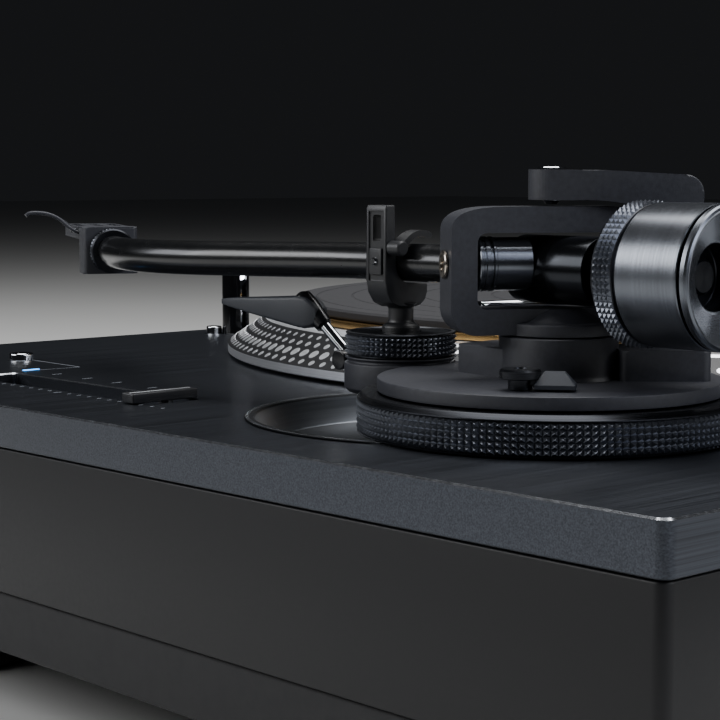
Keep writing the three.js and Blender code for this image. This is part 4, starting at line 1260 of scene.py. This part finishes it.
class TonearmParts:
    @staticmethod
    def gimbal():
        half, low, high, side, bar, thick = 25.2, 23.4, 52.9, 6.2, 6.0, 11.0
        mid, tall = (low + high) / 2, high - low
        bm = bmesh.new()
        reach, drop, fullness = 15.0, 6.5, 2 / 3.0
        crown = [(half - reach + reach * math.cos(a) ** fullness,
                  high - drop + drop * math.sin(a) ** fullness)
                 for a in (math.pi / 2 * s / 20 for s in range(21))]
        foot = arc(6.0, 270, 360, 10, (half - 6.0, low + 6.0))
        outer = foot + crown + [(-x, z) for x, z in crown[::-1]] + [(-x, z) for x, z in foot[::-1]]
        upright = spun("Z", TILT_ANGLE) @ spun("X", math.pi / 2)
        prism(bm, outer, -thick / 2, thick / 2, upright, bevel=0.8, segments=3)
        piece = finished(bm, "gimbal_frame_machined", FINISH.paint, frame_of_arm(), "gimbal",
                         ["gimbal_frame"], 30)
        opening = bmesh.new()
        prism(opening, rounded(2 * (half - side), tall - 2 * bar, 2.2, 6, (0, mid)), -thick, thick, upright)
        bore = bmesh.new()
        stud(bore, [(0, -40), (2.7, -40), (2.7, 40), (0, 40)],
             spun("Z", TILT_ANGLE) @ Matrix.Translation((0, 0, TILT_HEIGHT)) @ spun("Y", math.pi / 2), 48)
        carved(piece, opening, bore)
        hub = bmesh.new()
        spin(hub, eased([(0, 23.2), (12.8, 23.2), (12.8, 26), (10.4, 26.2), (6.4, 29.3), (0, 29.3)], 0.25,
                        3), 96)
        finished(hub, "gimbal_hub", FINISH.paint, frame_of_arm(-1.5, 1.4), "gimbal", (), 30)

    @staticmethod
    def bearing_screws():
        for name, side in (("bearing_screw_outer", 1), ("bearing_screw_inner", -1)):
            bm = bmesh.new()
            profile = [(0, 16.2), (2.3, 17.6), (2.3, 25.5), (3.3, 25.5), (3.3, 25.9), (3.0, 26.1),
                       (1.5, 26.1),
                       (1.3, 25.0), (0, 25.0)]
            spin(bm, profile, 48)
            turn = spun("Z", TILT_ANGLE) @ spun("Y", side * math.pi / 2)
            finished(bm, f"{name}_socketed", FINISH.nickel, frame_of_arm(0, 0, TILT_HEIGHT, turn), "gimbal",
                     [name], 30)

    @staticmethod
    def housing():
        """Barrel round the tilt bearing; thin rings, a satin sleeve and a gloss drum."""
        bm = bmesh.new()
        sleeve = eased([(0, -9), (5.05, -9), (5.05, -24), (6, -24), (6, -20), (5.6, -19.6), (5.6, -8.4)],
                       0.25, 2)
        spin(bm, sleeve, 96, material=0)
        spin(bm, eased([(5.6, -8.4), (8, -8), (8, 16), (4.3, 16), (4.3, 11), (0, 11)], 0.35, 3), 96,
             material=1)
        finished(bm, "arm_housing_barrel", [FINISH.turned, FINISH.drum], along_arm(), "tonearm",
                 ["arm_housing"], 25)
        pins = bmesh.new()
        cup = [(0, 6), (6.2, 6), (6.2, 14.3), (6.4, 14.5), (6.4, 15.0), (5.9, 15.2), (5.9, 15.7), (6.4, 15.9),
               (6.4, 16.8), (6.1, 17.0), (6.1, 17.4), (6.4, 17.6), (6.4, 18.2), (6.2, 18.4), (3, 18.4),
               (3, 15.8),
               (0, 15.8)]
        for side in (1, -1):
            stud(pins, cup, spun("Y", side * math.pi / 2), 72)
        # The trunnions take the counterweight body's lightened finish, painted sheen.
        finished(pins, "arm_housing_trunnions", FINISH.weight,
                 frame_of_arm(0, 0, TILT_HEIGHT, spun("Z", TILT_ANGLE)), "tonearm", (), 25)

    @staticmethod
    def tube(sizes):
        head = Vector((-math.sin(HEAD_ANGLE), -math.cos(HEAD_ANGLE), 0))
        end = Vector((-4.4, -182.9, -1.4)) - head * 2.8
        points = [(0, -9.4, 0), (0, -40, 0), (1, -68, -0.2), (5, -98, -0.7), (9.6, -125, -1.1),
                  (9.2, -148, -1.3),
                  (3.2, -168, -1.4), tuple(end)]
        path = smooth_path(points, 10)
        bm = bmesh.new()
        sweep(bm, path, [ring_section(sizes.tube_radius, 40)] * len(path))
        finished(bm, "arm_tube_curved", FINISH.tube, frame_of_arm(0, 0, TUBE_HEIGHT), "tonearm",
                 ["arm_tube"], 40)

    @staticmethod
    def head_frame():
        turn = spun("Z", math.atan2(-math.cos(HEAD_ANGLE), -math.sin(HEAD_ANGLE)))
        return frame_of_arm(-4.4, -182.9, TUBE_HEIGHT - 1.4, turn)

    @staticmethod
    def collar():
        bm = bmesh.new()
        root = 6.35
        pyramids(bm, root, -1.3, 2.5, 40, 3, 0.45, material=1)
        spin(bm, [(root, 2.5), (6.8, 2.7), (6.8, 3.2), (6.4, 3.6), (0, 3.6)], 40)
        spin(bm, [(0, -2.4), (6.4, -2.4), (6.8, -2.0), (6.8, -1.5), (root, -1.3)], 40)
        place = TonearmParts.head_frame() @ spun("Y", math.pi / 2)
        finished(bm, "headshell_collar_knurled", [FINISH.turned, FINISH.knurl], place, "headshell_collar",
                 ["headshell_collar"], 25)

    @staticmethod
    def headshell():
        bm = bmesh.new()
        prism(bm, rounded(12, 16.8, 1.4, 6, (9.9, 0)), -7.2, 7.2, bevel=0.6, segments=3)
        prism(bm, rounded(42, 16.4, 3.4, 8, (35.6, 0)), 3.2, 7.0, bevel=0.5, segments=3)
        piece = finished(bm, "headshell_cast", FINISH.paint, TonearmParts.head_frame(), "tonearm",
                         ["headshell"], 30)
        slots = []
        for side in (-1, 1):
            slot = bmesh.new()
            prism(slot, rounded(22, 2.6, 1.25, 8, (38.6, side * 5.8)), 0, 10)
            slots.append(slot)
        for spot in (24, 30, 36, 42, 48):
            slots.append(round_cutter(spot, 0, 1.9, 0, 10, segments=32))
        carved(piece, *slots)
        pins = bmesh.new()
        for y in (-2.2, 2.2):
            for z in (-2.2, 2.2):
                place = Matrix.Translation((15.9, y, z)) @ spun("Y", math.pi / 2)
                stud(pins, [(0, -1), (0.6, -1), (0.6, 3.6), (0.3, 4), (0, 4)], place, 16)
        finished(pins, "headshell_pins", FINISH.brass, TonearmParts.head_frame(), "tonearm")

    @staticmethod
    def finger_lift():
        path = [(0, 8.0, 5.2), (0, 9.4, 5.6), (0, 10.9, 6.8), (0.4, 13, 8.7), (0.6, 15.4, 10.2),
                (0.8, 17.6, 11.0),
                (1.0, 20.0, 11.4), (1.2, 22.4, 11.4), (1.3, 23.6, 11.1), (1.4, 24.4, 10.5)]
        bm = bmesh.new()
        sections = []
        for i, _ in enumerate(path):
            half = 3.2 - 0.05 * i - (0.7 if i == len(path) - 1 else 0)
            sections.append([(x, y) for x, y in rounded(2 * half, 1.1, 0.5, 4)])
        moved = [Vector(p) + Vector((18, 0, 0)) for p in path]
        sweep(bm, smooth_path([tuple(p) for p in moved], 3), [sections[min(i // 3, 9)] for i in range(28)])
        stud(bm, [(0, 5.2), (1.1, 5.2), (1.0, 6.1), (0.5, 6.5), (0, 6.6)],
             Matrix.Translation((18, 9.4, 0)), 24,
             material=1)
        finished(bm, "finger_lift_strip", [FINISH.paint, FINISH.chrome], TonearmParts.head_frame(), "tonearm",
                 ["finger_lift"], 40)

    @staticmethod
    def tail():
        profile = [(0, 11.4), (3.6, 11.4), (4, 11.8)]
        for thread in range(17):
            z = 26 + thread * 1.0
            profile += [(4, z), (3.75, z + 0.5)]
        profile += [(4, 43.4), (3.4, 44), (0, 44)]
        finished(turned(profile, 48), "tail_shaft_threaded", FINISH.turned, along_arm(), "tonearm",
                 ["tail_shaft"], 30)

    @staticmethod
    def force_ring():
        profile = eased([(4.3, 20.4), (9.6, 20.4), (10.4, 21.2), (10.4, 25), (4.3, 25), (4.3, 20.4)], 0.25, 3)
        bm = turned(profile, 96)
        for step in range(30):
            long = step % 5 == 0
            place = spun("Z", 2 * math.pi * step / 30)
            box(bm, (0.08, 0.28, 1.9 if long else 1.1), (10.41, 0, 24.6 - (0.95 if long else 0.55)), 0, place,
                material=1)
        finished(bm, "stylus_force_ring_marked", [FINISH.gloss, FINISH.white_ink], along_arm(), "force_ring",
                 ["stylus_force_ring"], 30)

    @staticmethod
    def weight(sizes):
        front, ring, rear = 25.3, 31.3, 50.6
        depth = sizes.knurl_depth
        root = 16.5 - depth
        bm = bmesh.new()
        around = sizes.weight_points
        pyramids(bm, root, front + 0.5, ring - 0.5, around, 4, depth, material=1)
        spin(bm, [(4.3, front + 0.2), (4.5, front), (15.6, front), (root, front + 0.5)], around)
        spin(bm, [(root, ring - 0.5), (15.6, ring - 0.2), (15.2, ring), (15.2, ring + 0.5)], around)
        spin(bm, [(15.2, ring + 0.5), (15.7, ring + 0.7), (16, ring + 1.0), (16, 48.4), (15.8, 48.6)],
             around * 2,
             material=2)
        spin(bm, [(15.8, 48.6), (15.2, 48.7), (15.2, 49.3), (15.8, 49.4)], around * 2)
        spin(bm, [(15.8, 49.4), (16, 49.6), (16, rear), (15.7, rear + 0.5), (15.2, rear + 0.8)], around * 2,
             material=2)
        spin(bm, [(15.2, rear + 0.8), (14.8, rear + 0.7), (14.5, rear + 0.54), (8.1, rear - 2.94),
                  (7.8, rear - 3.1),
                  (7.4, rear - 3.5)], around * 2, material=3)
        spin(bm, [(7.4, rear - 3.5), (7.4, rear - 8.8), (7.2, rear - 9), (4.4, rear - 9), (4.3, rear - 9.2),
                  (4.3, front + 0.2)], around * 2)
        # Materials 2 and 3, the body and the rear cone, carry painted sheen: lighter copies of the turned
        # finish.
        finished(bm, "counterweight_turned", [FINISH.turned, FINISH.knurl, FINISH.weight, FINISH.cone],
                 along_arm(),
                 "counterweight", ["counterweight"], 22)


# ---- Parts inside and behind ---------------------------------------------------------------------


class HiddenParts:
    @staticmethod
    def frame_finishes():
        """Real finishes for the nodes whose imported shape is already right."""
        kept = {
            "motor_frame": FINISH.casting, "motor_stator": FINISH.copper, "spindle_bearing": FINISH.brass,
            "rotor_magnet": FINISH.steel, "control_board": FINISH.board, "power_supply": FINISH.board,
            "target_light_sleeve": FINISH.plastic, "terminal_plate": FINISH.casting,
        }
        for name, finish in kept.items():
            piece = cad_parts[name]
            piece.data.materials.clear()
            piece.data.materials.append(finish)

    @staticmethod
    def sockets():
        outward = spun("X", -math.pi / 2)
        for name in ("phono_jack_left", "phono_jack_right"):
            middle = centre_of(name)
            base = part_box(name)[0].y / MM + 9
            bm = bmesh.new()
            spin(bm, eased([(2.2, -9), (6, -9), (6, 7), (4.3, 7), (4.3, -5), (2.2, -5), (2.2, -9)], 0.2,
                           2), 48)
            spin(bm, eased([(1.0, -8.6), (2.15, -8.6), (2.15, -3), (1.0, -3), (1.0, -8.6)], 0.1, 1), 32,
                 material=1)
            finished(bm, f"{name}_socket", [FINISH.brass, FINISH.plastic],
                     at(middle.x, base, middle.z, outward),
                     "deck", [name], 35)
        middle = centre_of("ground_terminal")
        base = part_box("ground_terminal")[0].y / MM + 8
        profile = [(0, -8), (3, -8), (3, 2.6), (5.0, 2.6)]
        bm = bmesh.new()
        spin(bm, [*profile, (5.4, 3.0), (5.4, 7.1), (5.0, 7.5), (1.0, 7.5), (0.9, 7.0), (0, 7.0)], 48)
        for step in range(24):
            box(bm, (0.35, 0.5, 3.4), (5.25, 0, 5.05), 0.1, spun("Z", 2 * math.pi * step / 24), segments=1)
        finished(bm, "ground_terminal_screw", FINISH.brass, at(middle.x, base, middle.z, outward), "deck",
                 ["ground_terminal"], 30)

    @staticmethod
    def inlet():
        low, high = span("mains_inlet")
        middle = (low + high) / 2
        bm = bmesh.new()
        box(bm, tuple(high - low), tuple(middle), 0.8, segments=3)
        piece = finished(bm, "mains_inlet_shell", FINISH.plastic, at(0, 0), "deck",
                         ["mains_inlet"], 30)
        mouth = bmesh.new()
        box(mouth, (18, 21, 11), (middle.x, high.y, middle.z), 1.0, segments=3)
        carved(piece, mouth)
        pins = bmesh.new()
        for x in (-5, 0, 5):
            box(pins, (1.6, 13, 4), (middle.x + x, high.y - 14.6 + 5.5, middle.z), 0.4)
        finished(pins, "mains_inlet_pins", FINISH.chrome, at(0, 0), "deck")


# ---- Stage ------------------------------------------------------------------------------------------


def area_light(name, place, aim, size, power, colour="#ffffff"):
    data = bpy.data.lights.new(name, "AREA")
    data.shape = "RECTANGLE"
    data.size, data.size_y = size
    data.energy = power
    data.color = linear(colour)[:3]
    light = bpy.data.objects.new(name, data)
    bpy.context.scene.collection.objects.link(light)
    light.location = place
    light.rotation_euler = (Vector(aim) - Vector(place)).to_track_quat("-Z", "Y").to_euler()
    return light


LENS_MM = 92.466
SENSOR_MM = 36
CAMERA_PLACE = (0.48257, 0.38515, 0.15625)
CAMERA_ANGLES = (84.265, 0, 137.436)
FLOOR_REACH = 9
AIR_STRENGTH = 0.55


def set_stage(look):
    """A pale floor, soft lights and the camera low behind the tonearm corner."""
    scene = bpy.context.scene
    world = bpy.data.worlds.new("Studio air")
    scene.world = world
    world.use_nodes = True
    world.node_tree.nodes["Background"].inputs["Color"].default_value = (*look.backdrop, 1)
    world.node_tree.nodes["Background"].inputs["Strength"].default_value = AIR_STRENGTH
    material, tree, shader = surface("Painted studio floor", (*look.floor, 1), 0.0, 0.7)
    shade = tuple(c * 0.96 for c in look.floor) + (1,)
    mottled(tree, shader, (shade, (*look.floor, 1)), (0.65, 0.75), 3)
    bm = bmesh.new()
    bmesh.ops.create_grid(bm, x_segments=8, y_segments=8, size=FLOOR_REACH)
    mesh = bpy.data.meshes.new("studio_floor")
    bm.to_mesh(mesh)
    bm.free()
    mesh.materials.append(material)
    floor = bpy.data.objects.new("studio_floor", mesh)
    scene.collection.objects.link(floor)
    area_light("Overhead softbox", (-0.15, -0.1, 1.5), (0, 0, 0.1), (1.5, 1.1), look.key)
    area_light("Side softbox", (1.2, -0.5, 0.75), (0.1, 0, 0.1), (0.8, 0.6), look.side)
    area_light("Rear strip", (-0.5, 1.4, 0.8), (0.05, 0.05, 0.12), (1.0, 0.3), look.side * 0.8)
    area_light("Front fill", (0.1, 1.05, 0.75), (0.15, 0.1, 0.12), (0.5, 0.6), look.side * 0.5, "#e8eeff")
    area_light("Far strip", (0.9, -0.9, 0.6), (0.05, -0.05, 0.1), (0.5, 0.4), look.side * 0.35, "#f4f7ff")
    lens = bpy.data.cameras.new("Studio camera")
    lens.sensor_width = SENSOR_MM
    lens.lens = LENS_MM
    lens.clip_start = 0.01
    camera = bpy.data.objects.new("Studio camera", lens)
    scene.collection.objects.link(camera)
    camera.location = CAMERA_PLACE
    camera.rotation_euler = tuple(math.radians(a) for a in CAMERA_ANGLES)
    scene.camera = camera


# ---- Operators --------------------------------------------------------------------------------------


def deck_sizes():
    return bpy.context.scene.turntable_deck


def arm_sizes():
    return bpy.context.scene.turntable_arm


class TURNTABLE_OT_cabinet(bpy.types.Operator):
    """Top panel, cabinet, base layer and feet"""

    bl_idname = "turntable.cabinet"
    bl_label = "Cabinet"
    bl_options = {"REGISTER", "UNDO"}

    def execute(self, context):
        sizes = deck_sizes()
        CabinetParts.panel(sizes)
        CabinetParts.cabinet(sizes)
        CabinetParts.base(sizes)
        for number in range(1, 5):
            CabinetParts.foot(number)
        return {"FINISHED"}


class TURNTABLE_OT_platter(bpy.types.Operator):
    """Platter with its dotted rim, brass plate, mat and spindle"""

    bl_idname = "turntable.platter"
    bl_label = "Platter"
    bl_options = {"REGISTER", "UNDO"}

    def execute(self, context):
        PlatterParts.rim(deck_sizes())
        PlatterParts.plate()
        PlatterParts.mat(deck_sizes())
        PlatterParts.spindle()
        return {"FINISHED"}


class TURNTABLE_OT_controls(bpy.types.Operator):
    """Fader, buttons, target light, strobe tower and scale marks"""

    bl_idname = "turntable.controls"
    bl_label = "Controls"
    bl_options = {"REGISTER", "UNDO"}

    def execute(self, context):
        ControlParts.fader()
        ControlParts.knob()
        ControlParts.buttons()
        ControlParts.target_light()
        ControlParts.strobe_tower()
        ControlParts.marks()
        return {"FINISHED"}


class TURNTABLE_OT_arm_base(bpy.types.Operator):
    """Arm well, collar, height ring, carriage, bridge and lock lever"""

    bl_idname = "turntable.arm_base"
    bl_label = "Arm base"
    bl_options = {"REGISTER", "UNDO"}

    def execute(self, context):
        ArmBaseParts.well()
        ArmBaseParts.collar()
        ArmBaseParts.ring(arm_sizes())
        ArmBaseParts.base()
        ArmBaseParts.bridge()
        ArmBaseParts.top_screw()
        ArmBaseParts.lock_lever()
        return {"FINISHED"}


class TURNTABLE_OT_arm_rest(bpy.types.Operator):
    """Anti-skating dial, rest, latch, cue lever and lifter"""

    bl_idname = "turntable.arm_rest"
    bl_label = "Arm rest and cueing"
    bl_options = {"REGISTER", "UNDO"}

    def execute(self, context):
        RestParts.dial(arm_sizes())
        RestParts.rest()
        RestParts.latch()
        CueParts.lever()
        CueParts.lifter()
        return {"FINISHED"}


class TURNTABLE_OT_tonearm(bpy.types.Operator):
    """Gimbal, housing, tube, headshell and counterweight"""

    bl_idname = "turntable.tonearm"
    bl_label = "Tonearm"
    bl_options = {"REGISTER", "UNDO"}

    def execute(self, context):
        TonearmParts.gimbal()
        TonearmParts.bearing_screws()
        TonearmParts.housing()
        TonearmParts.tube(arm_sizes())
        TonearmParts.collar()
        TonearmParts.headshell()
        TonearmParts.finger_lift()
        TonearmParts.tail()
        TonearmParts.force_ring()
        TonearmParts.weight(arm_sizes())
        return {"FINISHED"}


class TURNTABLE_OT_inside(bpy.types.Operator):
    """Motor, boards and rear sockets"""

    bl_idname = "turntable.inside"
    bl_label = "Inside and rear"
    bl_options = {"REGISTER", "UNDO"}

    def execute(self, context):
        HiddenParts.frame_finishes()
        HiddenParts.sockets()
        HiddenParts.inlet()
        return {"FINISHED"}


class TURNTABLE_OT_stage(bpy.types.Operator):
    """Floor, lights and camera"""

    bl_idname = "turntable.stage"
    bl_label = "Stage"
    bl_options = {"REGISTER", "UNDO"}

    def execute(self, context):
        set_stage(bpy.context.scene.turntable_stage)
        return {"FINISHED"}


OPERATORS = (
    TURNTABLE_OT_cabinet, TURNTABLE_OT_platter, TURNTABLE_OT_controls, TURNTABLE_OT_arm_base,
    TURNTABLE_OT_arm_rest, TURNTABLE_OT_tonearm, TURNTABLE_OT_inside, TURNTABLE_OT_stage,
)


class TURNTABLE_PT_sidebar(bpy.types.Panel):
    bl_label = "Turntable"
    bl_idname = "TURNTABLE_PT_sidebar"
    bl_space_type = "VIEW_3D"
    bl_region_type = "UI"
    bl_category = "Turntable"

    def draw(self, context):
        for group in ("turntable_deck", "turntable_arm", "turntable_stage"):
            values = getattr(context.scene, group)
            for key in values.__annotations__:
                self.layout.prop(values, key)
        for operator in OPERATORS:
            self.layout.operator(operator.bl_idname)


GROUPS = (DeckSizes, ArmSizes, StageLook)


def register():
    for each in (*GROUPS, *OPERATORS, TURNTABLE_PT_sidebar):
        bpy.utils.register_class(each)
    bpy.types.Scene.turntable_deck = PointerProperty(type=DeckSizes)
    bpy.types.Scene.turntable_arm = PointerProperty(type=ArmSizes)
    bpy.types.Scene.turntable_stage = PointerProperty(type=StageLook)


def unregister():
    del bpy.types.Scene.turntable_deck
    del bpy.types.Scene.turntable_arm
    del bpy.types.Scene.turntable_stage
    for each in reversed((*GROUPS, *OPERATORS, TURNTABLE_PT_sidebar)):
        bpy.utils.unregister_class(each)


def main():
    register()
    for operator in OPERATORS:
        family, name = operator.bl_idname.split(".")
        getattr(getattr(bpy.ops, family), name)()


if __name__ == "__main__":
    main()
